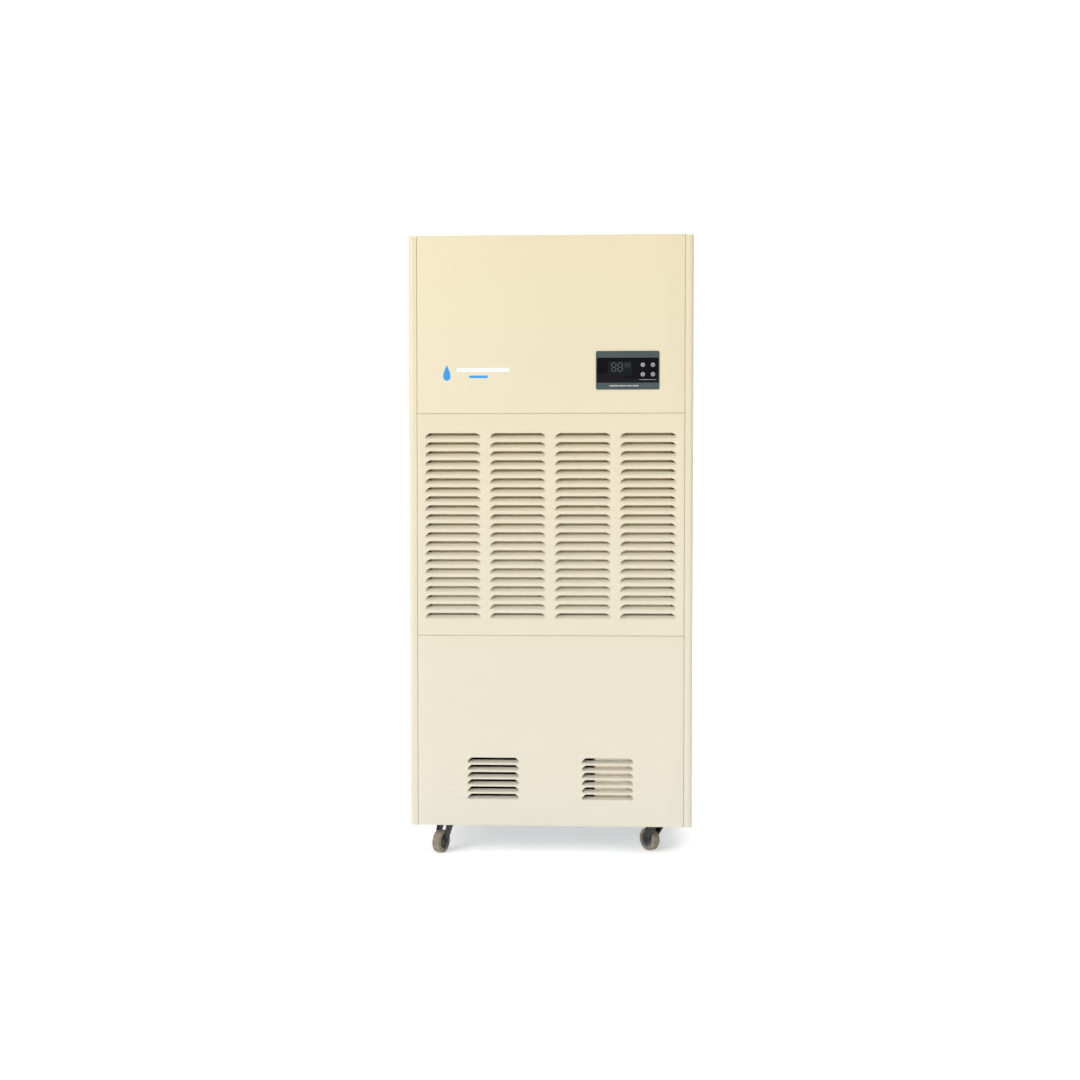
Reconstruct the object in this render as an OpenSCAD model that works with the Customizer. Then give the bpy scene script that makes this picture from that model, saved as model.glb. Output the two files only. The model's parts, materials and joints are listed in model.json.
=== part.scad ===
// Upright refrigerant dehumidifier for workplaces: a sheet-metal cabinet on four swivel casters.
// The front faces -Y, and the origin is on the floor under the middle of the cabinet.

/* [Cabinet] */
// Width of the cabinet
cabinet_w = 755; // [680:5:950]
// Depth of the cabinet
cabinet_d = 460; // [430:5:600]
// Height of the cabinet, from its lower edge to its top
cabinet_h = 1570; // [1500:5:1950]
// Height of the lower edge above the floor
ride_h = 80; // [74:1:100]
// Height of the lower front panel
lower_panel_h = 509.6; // [470:0.2:620]
// Height of the louvred intake panel
intake_panel_h = 588.6; // [570:0.2:720]

/* [Sheet metal] */
// Thickness of the panel sheet
panel_t = 1.2; // [0.8:0.1:2]
// Gap between neighbouring panels
panel_gap = 1.2; // [0.8:0.1:3]
// Depth of the folded edge around each panel
panel_fold = 13; // [9:0.5:20]
// Width of a corner post's outer face
post_face = 22; // [18:1:32]
// Outer radius of a corner post
post_r = 12; // [6:1:16]
// Thickness of the post sheet
post_t = 1.5; // [1:0.1:2.5]
// Width of the ledge that a panel rests on
post_ledge = 14; // [12:1:20]
// Height of the domed cap on each post
cap_h = 8; // [5:1:12]
// Thickness of the base pan and the decks
deck_t = 2; // [1.5:0.1:4]
// Height of the upturned rim of the base pan and the decks
rim_h = 30; // [20:1:45]

/* [Intake louvres] */
// Columns of louvres
louvre_columns = 4; // [2:1:6]
// Rows of louvres
louvre_rows = 21; // [5:1:21]
// Distance from one row to the next
louvre_pitch = 23.9; // [19:0.1:24]
// Height of the slot that each tab is bent from
louvre_h = 16; // [9:0.5:18]
// Angle that each tab is bent inwards
louvre_bend = 42; // [20:1:50]
// Radius of a tab's upper corners
louvre_r = 13; // [3:0.5:14]
// Plain sheet beside the outer columns
louvre_margin = 21.4; // [10:0.2:60]
// Plain sheet between two columns
louvre_spacing = 24.6; // [12:0.2:60]
// Plain sheet above the first row
louvre_head = 51; // [20:0.5:70]

/* [Lower vents] */
// Rows in each lower vent
vent_rows = 6; // [2:1:10]
// Distance from one row to the next
vent_pitch = 19.45; // [16:0.05:25]
// Height of each vent slot
vent_h = 15; // [8:0.5:15.5]
// Angle that each vent tab is bent inwards
vent_bend = 62; // [30:1:75]
// Radius of a vent tab's upper corners
vent_r = 10; // [2:0.5:10]
// Length of each vent slot
vent_len = 137; // [60:1:180]
// Distance of a vent's middle from the cabinet's middle
vent_x = 152.5; // [100:0.5:200]
// Height of the lowest slot above the panel's lower edge
vent_base = 71; // [30:0.5:120]

/* [Display] */
// Width of the display's bezel
bezel_w = 167; // [140:1:220]
// Height of the display's bezel
bezel_h = 101; // [90:1:140]
// How far the bezel stands out from the panel
bezel_t = 2.5; // [1.5:0.1:5]
// Depth of the display's housing behind the panel
bezel_depth = 28; // [14:1:35]
// Distance of the display's middle from the cabinet's middle
display_x = 203.3; // [150:0.1:240]
// Distance of the display's middle below the cabinet's top
display_drop = 357; // [200:1:420]
// Diameter of a button
button_d = 11.4; // [8:0.1:14]
// Sideways distance between two buttons
button_pitch_x = 26.5; // [18:0.1:30]
// Upright distance between two buttons
button_pitch_z = 25; // [18:0.1:28]

/* [Outlet] */
// Width of the air outlet in the top
outlet_w = 320; // [240:5:400]
// Depth of the air outlet in the top
outlet_d = 220; // [200:5:260]
// Distance from the outlet's edge to a duct bolt
duct_bolt_inset = 25; // [20:1:40]
// Diameter of a duct bolt hole
duct_bolt_d = 5.5; // [4:0.1:8]

/* [Fan] */
// Diameter of the fan's impeller
impeller_d = 200; // [140:5:210]
// Diameter of the fan's shaft
shaft_d = 16; // [10:1:24]
// Blades around the impeller
impeller_blades = 36; // [12:2:48]
// Distance from the impeller to the narrowest part of the scroll
scroll_clearance = 10; // [5:1:20]
// How much the scroll widens on its way to the outlet
scroll_growth = 50; // [30:1:60]

/* [Coils] */
// Depth of each coil
coil_d = 66; // [50:1:80]
// Outer diameter of a coil tube
coil_tube_d = 9.6; // [8:0.1:12]
// Tubes in each coil
coil_tubes = 16; // [8:2:18]
// Fins in each coil
coil_fins = 18; // [8:1:40]
// Thickness of a fin
fin_t = 1; // [0.5:0.1:2]
// Width of the strip beside the coils that the pipes run in
pipe_strip = 53; // [45:1:80]

/* [Compressor] */
// Diameter of the compressor's shell
compressor_d = 150; // [110:2:170]
// Height of the compressor's shell
compressor_h = 290; // [200:5:340]

/* [Casters] */
// Diameter of a caster's wheel
wheel_d = 60; // [48:1:62]
// Width of a caster's tyre
wheel_w = 22; // [16:1:28]
// Distance from the swivel's axis to the wheel's axle
caster_trail = 27; // [18:1:32]
// Diameter of a caster's axle
axle_d = 8; // [6:0.5:12]
// Diameter of a caster's kingpin
kingpin_d = 12; // [8:0.5:16]
// Distance from a swivel's axis to the cabinet's side
caster_inset_x = 92.5; // [70:0.5:120]
// Distance from a swivel's axis to the cabinet's front or back
caster_inset_y = 55; // [52:0.5:100]

/* [Connections] */
// Outer diameter of the drain spigot
spigot_d = 16; // [12:0.5:22]
// Length of the drain spigot behind its flange
spigot_len = 15; // [10:0.5:15]
// Height of the drain spigot above the floor
spigot_z = 180; // [150:1:300]
// Bore of the cable gland
gland_bore = 12; // [6:0.5:14]
// Height of the cable gland above the floor
gland_z = 330; // [250:1:450]

/* [Hidden] */
$fn = 48;
running_gap = 0.05;
button_gap = 0.3;
loose_gap = 0.5;
cut = 1;

// Cabinet lines
half_w = cabinet_w / 2;
half_d = cabinet_d / 2;
top_z = ride_h + cabinet_h;
frame_x = half_w - panel_fold - post_t;
frame_y = half_d - panel_fold - post_t;
panel_edge = post_face + panel_gap;
front_w = cabinet_w - 2 * panel_edge;
side_w = cabinet_d - 2 * panel_edge;
intake_z = ride_h + lower_panel_h + panel_gap;
upper_z = intake_z + intake_panel_h + panel_gap;
upper_panel_h = top_z - upper_z;
ledge_screw = post_face + post_ledge / 2;

// Floor and decks
pan_recess = 10;
pan_z = ride_h + pan_recess;
pan_top = pan_z + deck_t;
tray_rim_z = intake_z - panel_gap / 2;
tray_z = tray_rim_z - rim_h;
tray_top = tray_z + deck_t;
fan_deck_z = upper_z - panel_gap / 2;
fan_deck_top = fan_deck_z + deck_t;

// Louvre sizes
louvre_len = (front_w - 2 * louvre_margin - (louvre_columns - 1) * louvre_spacing) / louvre_columns;
tab_gap = 0.4;
tab_clearance = 2.5;
louvre_depth = louvre_h * sin(louvre_bend) + panel_t * cos(louvre_bend);
vent_depth = vent_h * sin(vent_bend) + panel_t * cos(vent_bend);

// Screws
screw_d = 5;
screw_hole_d = 5.2;
screw_head_d = 11;
screw_head_h = 3;
side_screws = 5;
rear_screws = 3;
screw_end_gap = 60;

// Filter and coils, from the front to the back
filter_t = 20;
filter_bar = 18;
filter_side_gap = 3.5;
filter_y = -half_d + louvre_depth + tab_clearance;
filter_w = 2 * (half_w - post_face - post_ledge - filter_side_gap);
filter_z = intake_z + panel_t;
filter_h = intake_panel_h - 2 * panel_t;
coil_gap = 20;
filter_to_coil = 14;
evaporator_y = filter_y + filter_t + filter_to_coil;
condenser_y = evaporator_y + coil_d + coil_gap;
coil_half_w = frame_x - pipe_strip;
coil_h = fan_deck_z - tray_top;
coil_plate_t = 2;
coil_end_gap = 30;
coil_stub = 5;
coil_tube_pitch = (coil_h - 2 * coil_end_gap) / coil_tubes;
coil_first_z = tray_top + coil_end_gap + coil_tube_pitch / 2;
coil_last_z = coil_first_z + (coil_tubes - 1) * coil_tube_pitch;
coil_end_x = -coil_half_w - coil_stub;
evaporator_mid = evaporator_y + coil_d / 2;
condenser_mid = condenser_y + coil_d / 2;

// Refrigerant pipes, which run down the left side
suction_d = 14;
discharge_d = 10;
pipe_bend = 12;
pipe_wall_gap = 13;
pipe_x = frame_x - pipe_wall_gap;
pipe_shift = 25;
suction_y = evaporator_mid - pipe_shift;
discharge_y = condenser_mid + pipe_shift;
drier_d = 22;
drier_len = 46;
pipe_collar = 2;
collar_h = 20;
// Heights above the compressor at which each pipe turns inwards and down
suction_turn = 60;
suction_drop = 20;
discharge_turn = 90;
discharge_drop = 60;

// Compressor, to the left behind the lower vents
compressor_x = -150;
compressor_y = 20;
mount_h = 22;
mount_span = 2 * compressor_d / 3 + 50;
mount_edge = 20;
mount_hole_d = 11;
foot_t = 4;
foot_w = mount_span + 2 * mount_edge;
shell_base_d = 0.8 * compressor_d;
shell_base_h = 20;
shell_z = pan_top + mount_h + foot_t;
shell_top = shell_z + compressor_h;
accumulator_d = 70;
accumulator_h = 170;
accumulator_gap = 8;
accumulator_x = compressor_x - compressor_d / 2 - accumulator_d / 2 - accumulator_gap;
accumulator_z = shell_z + 50;
bracket_w = 24;
bracket_h = 16;

// Electrical box, to the right behind the lower vents
box_t = 1.2;
box_w = 212;
box_h = 290;
box_d = 140;
box_side_gap = 33;
box_rim_gap = 8;
box_x = frame_x - box_side_gap - box_w;
box_y = -half_d + vent_depth + tab_clearance;
box_z = pan_z + rim_h + box_rim_gap;
foot_rail_w = 20;

// Fan
impeller_gap = 10;
impeller_w = outlet_w - 2 * impeller_gap;
impeller_r = impeller_d / 2;
blade_depth = 16;
blade_t = 2;
ring_t = 3;
fan_hub_d = 44;
fan_hub_w = 50;
motor_bore = 65;
shaft_end_gap = 5;
scroll_t = 1.5;
scroll_r0 = impeller_r + scroll_clearance;
scroll_r1 = scroll_r0 + scroll_growth;
fan_y = outlet_d / 2 - scroll_r1;
fan_z = fan_deck_top + scroll_r1 + 38;
tongue_angle = acos((-outlet_d / 2 - fan_y) / scroll_r0);
tongue_outer = acos((-outlet_d / 2 - scroll_t - fan_y) / (scroll_r0 + scroll_t));
scroll_steps = 24;
inlet_r = impeller_r - blade_depth + 4;
grille_h = 12;
grille_z = top_z - panel_t - grille_h;
grille_flange = 15;
grille_flange_t = 2;
grille_bar_t = 3;
grille_bar_pitch = 18;
motor_d = 110;
motor_len = 100;
motor_gap = 20;
motor_x = -outlet_w / 2 - scroll_t - motor_gap;

// Display, in its own frame: middle on the panel's face, +Z outwards
display_z = top_z - display_drop;
bezel_r = 4;
bezel_lip = 5;
window_w = bezel_w - 4;
window_h = 66;
window_t = 1.5;
window_gap = 0.1;
lcd_w = 63;
lcd_h = 37;
lcd_t = 1;
lcd_x = -19.5;
lcd_y = 5;
buttons_x = 53;
buttons_y = 1.5;
button_out = 1.2;
button_back = 6;
button_travel = 0.8;
pocket_depth = button_back + button_travel + 1;

// Casters
caster_plate = 80;
caster_plate_t = 3;
plate_bolt_inset = 10;
caster_bolt_d = 6;
caster_bolt_hole_d = 6.6;
caster_bolt_head_d = 10;
caster_bolt_head_h = 4;
caster_bolt_nut_h = 5;
caster_bolt_out = 8;
race_r = 23;
race_gap = 0.5;
fork_top_t = 3;
fork_t = 2.5;
fork_eye_r = 9;
fork_side_gap = 2;
fork_neck_h = 8;
kingpin_head_h = 3;
kingpin_head_d = kingpin_d + 10;
axle_nut_t = 3;
axle_nut_d = axle_d + 5;
race_h = 7.5;
plate_z = pan_z - caster_plate_t;
race_z = plate_z - race_gap - race_h;
wheel_hub_w = wheel_w + 2;
fork_inner = wheel_hub_w / 2 + fork_side_gap / 2;
tyre_t = 8;
tyre_edge_r = 3;
hub_web_t = 8;
hub_rim_t = 4;
hub_rim_step = 1;
hub_boss_t = 5;
caster_x = half_w - caster_inset_x;
caster_y = half_d - caster_inset_y;
// Where each caster's wheel trails to at rest, as an angle from +X
front_left_turn = 245;
front_right_turn = 130;
rear_left_turn = 200;
rear_right_turn = 340;

// Connections at the back
drain_x = 150;
drain_y = 150;
drain_stub_h = 20;
drain_bore = 12;
hose_d = 20;
spigot_flange_d = 34;
spigot_flange_t = 3;
spigot_inner = 26;
gland_x = 250;
gland_thread_d = 20;
gland_nut_d = 27;
gland_nut_h = 5;
gland_out = 14;
gland_in = 16;
spigot_nut_d = 28;
spigot_nut_h = 6;

// Wiring loom
loom_d = 12;
loom_bend = 22;
loom_rise = 60;
loom_start = 40;
loom_x = coil_half_w + 30;
loom_y = -130;
motor_lead_d = 8;
motor_lead_bend = 18;
motor_lead_rise = 60;
motor_lead_reach = 90;
motor_lead_end = 30;

// Humidity sensor, hung under the fan deck
sensor_h = 60;
sensor_d = 18;
sensor_body_h = 36;
sensor_stem_d = 6;
sensor_gap = 2;

steel_cream = "#f1e8cc";
galvanised = "#b9bdbf";
copper = "#b87333";
aluminium_fin = "#c9ced2";
black_paint = "#1c1c1e";
dark_rubber = "#2b2a28";
grey_plastic = "#4a5357";

// ---- Outlines and sweeps ----

function arc(c, r, a0, a1, steps = 6) =
    [for (i = [0 : steps]) c + r * [cos(a0 + (a1 - a0) * i / steps), sin(a0 + (a1 - a0) * i / steps)]];

function rounded_outline(w, h, r) = concat(
    arc([w / 2 - r, h / 2 - r], r, 0, 90),
    arc([-w / 2 + r, h / 2 - r], r, 90, 180),
    arc([-w / 2 + r, -h / 2 + r], r, 180, 270),
    arc([w / 2 - r, -h / 2 + r], r, 270, 360)
);

// A slot or tab with square lower corners and round upper ones, standing on y = 0
function tab_outline(w, h, r) = concat(
    [[-w / 2, 0], [w / 2, 0]],
    arc([w / 2 - r, h - r], r, 0, 90),
    arc([-w / 2 + r, h - r], r, 90, 180)
);

function unit(v) = v / norm(v);

// Points of the arc that rounds corner b between a and c
function corner(a, b, c, bend, steps) =
    let (u = unit(a - b), w = unit(c - b), half = acos(u * w) / 2, turn = 180 - 2 * half)
    let (centre = b + unit(u + w) * bend / sin(half))
    let (p = b + u * bend / tan(half) - centre, q = b + w * bend / tan(half) - centre)
    [for (i = [0 : steps]) let (share = i / steps)
        centre + (p * sin(turn * (1 - share)) + q * sin(turn * share)) / sin(turn)];

function bent_path(route, bend, steps = 5) = concat(
    [route[0]],
    [for (i = [1 : len(route) - 2]) each corner(route[i - 1], route[i], route[i + 1], bend, steps)],
    [route[len(route) - 1]]
);

function tangents(path) = [for (i = [0 : len(path) - 1]) unit(
    (i > 0 ? unit(path[i] - path[i - 1]) : [0, 0, 0])
    + (i < len(path) - 1 ? unit(path[i + 1] - path[i]) : [0, 0, 0])
)];

function carried_normals(t, n, i = 0) =
    i == len(t) ? [] : let (m = unit(n - t[i] * (n * t[i]))) concat([m], carried_normals(t, m, i + 1));

// A round solid that follows a route with rounded corners
module swept_tube(route, d, bend, sides = 12) {
    path = bent_path(route, bend);
    t = tangents(path);
    n = carried_normals(t, [0.31, 0.87, 0.38]);
    rings = [for (i = [0 : len(path) - 1], j = [0 : sides - 1])
        path[i] + d / 2 * (cos(360 * j / sides) * n[i] + sin(360 * j / sides) * cross(t[i], n[i]))];
    walls = [for (i = [0 : len(path) - 2], j = [0 : sides - 1]) let (k = (j + 1) % sides)
        [i * sides + j, (i + 1) * sides + j, (i + 1) * sides + k, i * sides + k]];
    first = [for (j = [0 : sides - 1]) j];
    last = [for (j = [sides - 1 : -1 : 0]) (len(path) - 1) * sides + j];
    polyhedron(points = rings, faces = concat([first, last], walls));
}

// ---- Placing ----

// Each face of the cabinet: x runs along it, y up it and z out of it
module on_front(z = 0) { translate([0, -half_d, z]) rotate([90, 0, 0]) children(); }
module on_back(z = 0) { translate([0, half_d, z]) rotate([90, 0, 180]) children(); }
module on_left(z = 0) { translate([-half_w, 0, z]) rotate([90, 0, -90]) children(); }
module on_right(z = 0) { translate([half_w, 0, z]) rotate([90, 0, 90]) children(); }
module on_display() { on_front(display_z) translate([display_x, 0, 0]) children(); }

// Extrudes an outline drawn in Y and Z along X, from the middle both ways
module across(length) { rotate([90, 0, 90]) linear_extrude(length, center = true) children(); }

// ---- Frame ----

module post_section() {
    difference() {
        circle(post_r);
        circle(post_r - post_t);
        translate([0, -post_r]) square([post_r, 2 * post_r]);
        translate([-post_r, 0]) square([post_r, post_r]);
    }
    translate([0, -post_r]) square([post_face - post_r, post_t]);
    translate([-post_r, 0]) square([post_t, post_face - post_r]);
    translate([post_face - post_r - post_t, -post_r]) square([post_t, panel_fold + post_t]);
    translate([-post_r, post_face - post_r - post_t]) square([panel_fold + post_t, post_t]);
    translate([post_face - post_r - post_t, panel_fold - post_r]) square([post_ledge + post_t, post_t]);
    translate([panel_fold - post_r, post_face - post_r - post_t]) square([post_t, post_ledge + post_t]);
}

function screw_heights(z, h, count) =
    [for (i = [0 : count - 1]) z + screw_end_gap + (h - 2 * screw_end_gap) * i / (count - 1)];

screw_length = panel_fold + post_t + 4;
side_screw_z = screw_heights(ride_h, cabinet_h, side_screws);
rear_screw_z = concat(
    screw_heights(ride_h, tray_rim_z - ride_h, rear_screws),
    screw_heights(tray_rim_z, top_z - tray_rim_z, rear_screws)
);

// Posts are alike but for their side, and only rear ones take screws from the back
module post(right, rear) {
    color(steel_cream)
    mirror([right ? 1 : 0, 0, 0])
    mirror([0, rear ? 1 : 0, 0])
    difference() {
        translate([-half_w + post_r, -half_d + post_r, ride_h])
            linear_extrude(cabinet_h - cap_h) post_section();
        for (z = side_screw_z) translate([-frame_x, -half_d + ledge_screw, z])
            rotate([0, 90, 0]) cylinder(d = screw_hole_d, h = 4 * post_t, center = true);
        if (rear) for (z = rear_screw_z) translate([-half_w + ledge_screw, -frame_y, z])
            rotate([90, 0, 0]) cylinder(d = screw_hole_d, h = 4 * post_t, center = true);
    }
}

// The profile of a cap's rounded outer edge, with the cabinet's outside at x = 0
module cap_profile() {
    polygon(concat([[post_face, 0]], [[post_face, cap_h]], arc([cap_h, 0], cap_h, 90, 180, 8)));
}

module corner_cap() {
    inner = panel_fold + post_t;
    intersection() {
        linear_extrude(cap_h) difference() {
            union() {
                translate([post_r, post_r]) circle(post_r);
                translate([post_r, 0]) square([post_face - post_r, post_face]);
                translate([0, post_r]) square([post_face, post_face - post_r]);
            }
            translate([inner, inner]) square(post_face);
        }
        translate([0, post_face, 0]) rotate([90, 0, 0]) linear_extrude(post_face) cap_profile();
        rotate([90, 0, 90]) linear_extrude(post_face) cap_profile();
    }
}

module corner_caps() {
    color(steel_cream)
    for (right = [0, 1], rear = [0, 1]) mirror([right, 0, 0]) mirror([0, rear, 0])
        translate([-half_w, -half_d, top_z - cap_h]) corner_cap();
}

module base_pan() {
    color(galvanised)
    difference() {
        translate([-frame_x, -frame_y, pan_z]) cube([2 * frame_x, 2 * frame_y, rim_h]);
        translate([-frame_x + deck_t, -frame_y + deck_t, pan_top])
            cube([2 * (frame_x - deck_t), 2 * (frame_y - deck_t), rim_h]);
        at_casters() at_plate_bolts()
            translate([0, 0, pan_z - cut]) cylinder(d = caster_bolt_hole_d, h = deck_t + 2 * cut);
    }
}

// ---- Panels ----

// A folded tray, its face at z = 0 and its middle at x = 0, with openings cut by its children
module folded_panel(w, h) {
    difference() {
        translate([-w / 2, 0, -panel_fold]) cube([w, h, panel_fold]);
        translate([-w / 2 + panel_t, panel_t, -panel_fold - cut])
            cube([w - 2 * panel_t, h - 2 * panel_t, panel_fold + cut - panel_t]);
        translate([0, 0, -panel_t - cut]) linear_extrude(panel_t + 2 * cut) children();
    }
}

// A column of slots, the lowest standing on y = 0
module slot_column(w, h, r, pitch, rows) {
    for (i = [0 : rows - 1]) translate([0, i * pitch]) polygon(tab_outline(w, h, r));
}

// The tabs of a column, bent inwards about their lower edge
module tab_column(w, h, r, pitch, rows, bend) {
    for (i = [0 : rows - 1]) translate([0, i * pitch, 0]) rotate([-bend, 0, 0])
        translate([0, 0, -panel_t]) linear_extrude(panel_t) polygon(tab_outline(w - 2 * tab_gap, h, r));
}

module screw_holes(w, heights, z) {
    for (side = [-1, 1], height = heights)
        translate([side * (w / 2 - ledge_screw), height - z]) circle(d = screw_hole_d);
}

module left_side_panel() {
    color(steel_cream)
    on_left(ride_h) folded_panel(side_w, cabinet_h) screw_holes(cabinet_d, side_screw_z, ride_h);
}

module right_side_panel() {
    color(steel_cream)
    on_right(ride_h) folded_panel(side_w, cabinet_h) screw_holes(cabinet_d, side_screw_z, ride_h);
}

module front_top_panel() {
    color(steel_cream)
    on_front(upper_z) folded_panel(front_w, upper_panel_h)
        translate([display_x, display_z - upper_z])
            square([bezel_w - 2 * bezel_lip, bezel_h - 2 * bezel_lip], center = true);
}

module at_louvre_columns() {
    first = intake_panel_h - louvre_head - louvre_h - (louvre_rows - 1) * louvre_pitch;
    for (i = [0 : louvre_columns - 1])
        translate([(i - (louvre_columns - 1) / 2) * (louvre_len + louvre_spacing), first]) children();
}

module front_intake_panel() {
    color(steel_cream)
    on_front(intake_z) union() {
        folded_panel(front_w, intake_panel_h)
            at_louvre_columns() slot_column(louvre_len, louvre_h, louvre_r, louvre_pitch, louvre_rows);
        at_louvre_columns()
            tab_column(louvre_len, louvre_h, louvre_r, louvre_pitch, louvre_rows, louvre_bend);
    }
}

module at_vents() {
    for (side = [-1, 1]) translate([side * vent_x, vent_base]) children();
}

// A panel with two groups of vents
module vented_panel(h) {
    folded_panel(front_w, h) {
        at_vents() slot_column(vent_len, vent_h, vent_r, vent_pitch, vent_rows);
    }
    at_vents() tab_column(vent_len, vent_h, vent_r, vent_pitch, vent_rows, vent_bend);
}

module front_lower_panel() {
    color(steel_cream)
    on_front(ride_h) vented_panel(lower_panel_h);
}

module rear_upper_panel() {
    h = top_z - tray_rim_z - panel_gap / 2;
    color(steel_cream)
    on_back(top_z - h) folded_panel(front_w, h)
        screw_holes(cabinet_w, [for (z = rear_screw_z) if (z > tray_rim_z) z], top_z - h);
}

module rear_lower_panel() {
    spigot_hole_d = spigot_d + 1;
    color(steel_cream)
    on_back(ride_h) folded_panel(front_w, lower_panel_h) {
        screw_holes(cabinet_w, [for (z = rear_screw_z) if (z < tray_rim_z) z], ride_h);
        translate([-drain_x, spigot_z - ride_h]) circle(d = spigot_hole_d);
        translate([-gland_x, gland_z - ride_h]) circle(d = gland_thread_d + loose_gap);
    }
}

module top_cover() {
    bolt_x = outlet_w / 2 + duct_bolt_inset;
    bolt_y = outlet_d / 2 + duct_bolt_inset;
    flange_h = 20;
    color(steel_cream)
    difference() {
        translate([-frame_x, -frame_y, top_z - flange_h]) cube([2 * frame_x, 2 * frame_y, flange_h]);
        translate([-frame_x + panel_t, -frame_y + panel_t, top_z - flange_h - cut])
            cube([2 * (frame_x - panel_t), 2 * (frame_y - panel_t), flange_h + cut - panel_t]);
        translate([-outlet_w / 2, -outlet_d / 2, top_z - panel_t - cut])
            cube([outlet_w, outlet_d, panel_t + 2 * cut]);
        for (x = [-bolt_x, bolt_x], y = [-bolt_y, bolt_y]) translate([x, y, top_z - panel_t - cut])
            cylinder(d = duct_bolt_d, h = panel_t + 2 * cut);
    }
}

// Bars across the outlet, in a frame that lies under the top cover
module outlet_grille() {
    bars = floor((outlet_d - grille_bar_pitch) / grille_bar_pitch);
    depth = grille_h - grille_flange_t;
    color(black_paint)
    translate([0, 0, grille_z]) {
        difference() {
            translate([-outlet_w / 2 - grille_flange, -outlet_d / 2 - grille_flange, depth])
                cube([outlet_w + 2 * grille_flange, outlet_d + 2 * grille_flange, grille_flange_t]);
            translate([-outlet_w / 2, -outlet_d / 2, depth - cut])
                cube([outlet_w, outlet_d, grille_flange_t + 2 * cut]);
        }
        for (i = [0 : bars - 1])
            translate([-outlet_w / 2, (i - (bars - 1) / 2) * grille_bar_pitch - grille_bar_t / 2, 0])
                cube([outlet_w, grille_bar_t, grille_h]);
        for (x = [-outlet_w / 2, -grille_bar_t / 2, outlet_w / 2 - grille_bar_t])
            translate([x, -outlet_d / 2, 0]) cube([grille_bar_t, outlet_d, grille_h]);
    }
}

// A pan-head screw standing on z = 0, with its shank below
module pan_screw(length) {
    socket_d = 5;
    socket_h = 2;
    difference() {
        union() {
            cylinder(d = screw_head_d, h = screw_head_h);
            translate([0, 0, -length]) cylinder(d = screw_d, h = length);
        }
        translate([0, 0, screw_head_h - socket_h]) cylinder(d = socket_d, h = socket_h + cut, $fn = 6);
    }
}

// Its child at each side screw and rear screw from one height to another
module at_screws(low = ride_h, high = top_z) {
    for (side = [-1, 1], z = side_screw_z) if (z > low && z < high) {
        on_left(z) translate([side * (half_d - ledge_screw), 0, 0]) children();
        on_right(z) translate([side * (half_d - ledge_screw), 0, 0]) children();
    }
    for (side = [-1, 1], z = rear_screw_z) if (z > low && z < high)
        on_back(z) translate([side * (half_w - ledge_screw), 0, 0]) children();
}

module panel_screws() {
    color(galvanised) at_screws() pan_screw(screw_length);
}

// ---- Filter ----

module filter_frame() {
    color(grey_plastic)
    translate([-filter_w / 2, filter_y, filter_z]) difference() {
        cube([filter_w, filter_t, filter_h]);
        translate([filter_bar, -cut, filter_bar])
            cube([filter_w - 2 * filter_bar, filter_t + 2 * cut, filter_h - 2 * filter_bar]);
    }
}

module filter_mesh() {
    mesh_t = 8;
    color("#3b4144")
    translate([-filter_w / 2 + filter_bar, filter_y + (filter_t - mesh_t) / 2, filter_z + filter_bar])
        cube([filter_w - 2 * filter_bar, mesh_t, filter_h - 2 * filter_bar]);
}

// ---- Coils ----

module coil_plate_outline(end_gap) {
    difference() {
        translate([0, tray_top + end_gap]) square([coil_d, coil_h - 2 * end_gap]);
        for (i = [0 : coil_tubes - 1])
            translate([coil_d / 2, coil_first_z + i * coil_tube_pitch])
                circle(d = coil_tube_d + 2 * running_gap);
    }
}

module coil_fin_pack(y) {
    fin_pitch = 2 * coil_half_w / (coil_fins + 1);
    translate([0, y, 0]) {
        for (i = [1 : coil_fins]) translate([-coil_half_w + i * fin_pitch, 0, 0])
            across(fin_t) coil_plate_outline(coil_end_gap / 2);
        for (side = [-1, 1]) translate([side * (coil_half_w - coil_plate_t / 2), 0, 0])
            across(coil_plate_t) coil_plate_outline(0);
    }
}

// One tube that runs to and fro up the coil, with both ends on the left
module coil_serpentine(y) {
    turn_x = -coil_end_x + coil_tube_pitch / 2;
    turns = [for (i = [0 : coil_tubes - 1], end = [0, 1])
        [(i + end) % 2 == 0 ? -turn_x : turn_x, y, coil_first_z + i * coil_tube_pitch]];
    route = concat(
        [[coil_end_x, y, coil_first_z]],
        [for (i = [1 : len(turns) - 2]) turns[i]],
        [[coil_end_x, y, coil_last_z]]
    );
    swept_tube(route, coil_tube_d, coil_tube_pitch / 2 - 1, 10);
}

module evaporator_fins() { color(aluminium_fin) coil_fin_pack(evaporator_y); }
module evaporator_tubes() { color(copper) coil_serpentine(evaporator_mid); }
module condenser_fins() { color(aluminium_fin) coil_fin_pack(condenser_y); }
module condenser_tubes() { color(copper) coil_serpentine(condenser_mid); }

// ---- Decks ----

// A tray as wide as the frame, with its rim upwards
module deck(z) {
    difference() {
        translate([-frame_x, -frame_y, z]) cube([2 * frame_x, 2 * frame_y, rim_h]);
        translate([-frame_x + deck_t, -frame_y + deck_t, z + deck_t])
            cube([2 * (frame_x - deck_t), 2 * (frame_y - deck_t), rim_h]);
        at_screws(z - screw_d, z + rim_h + screw_d) translate([0, 0, -screw_length - loose_gap])
            cylinder(d = screw_d + 2 * loose_gap, h = screw_length);
    }
}

// Each place where a pipe or the loom goes through the tray: [x, y, diameter]
tray_holes = [
    [-pipe_x, suction_y, suction_d + 2 * loose_gap],
    [-pipe_x, discharge_y, discharge_d + 2 * loose_gap],
    [loom_x, loom_y, loom_d + 2 * loose_gap]
];

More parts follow.
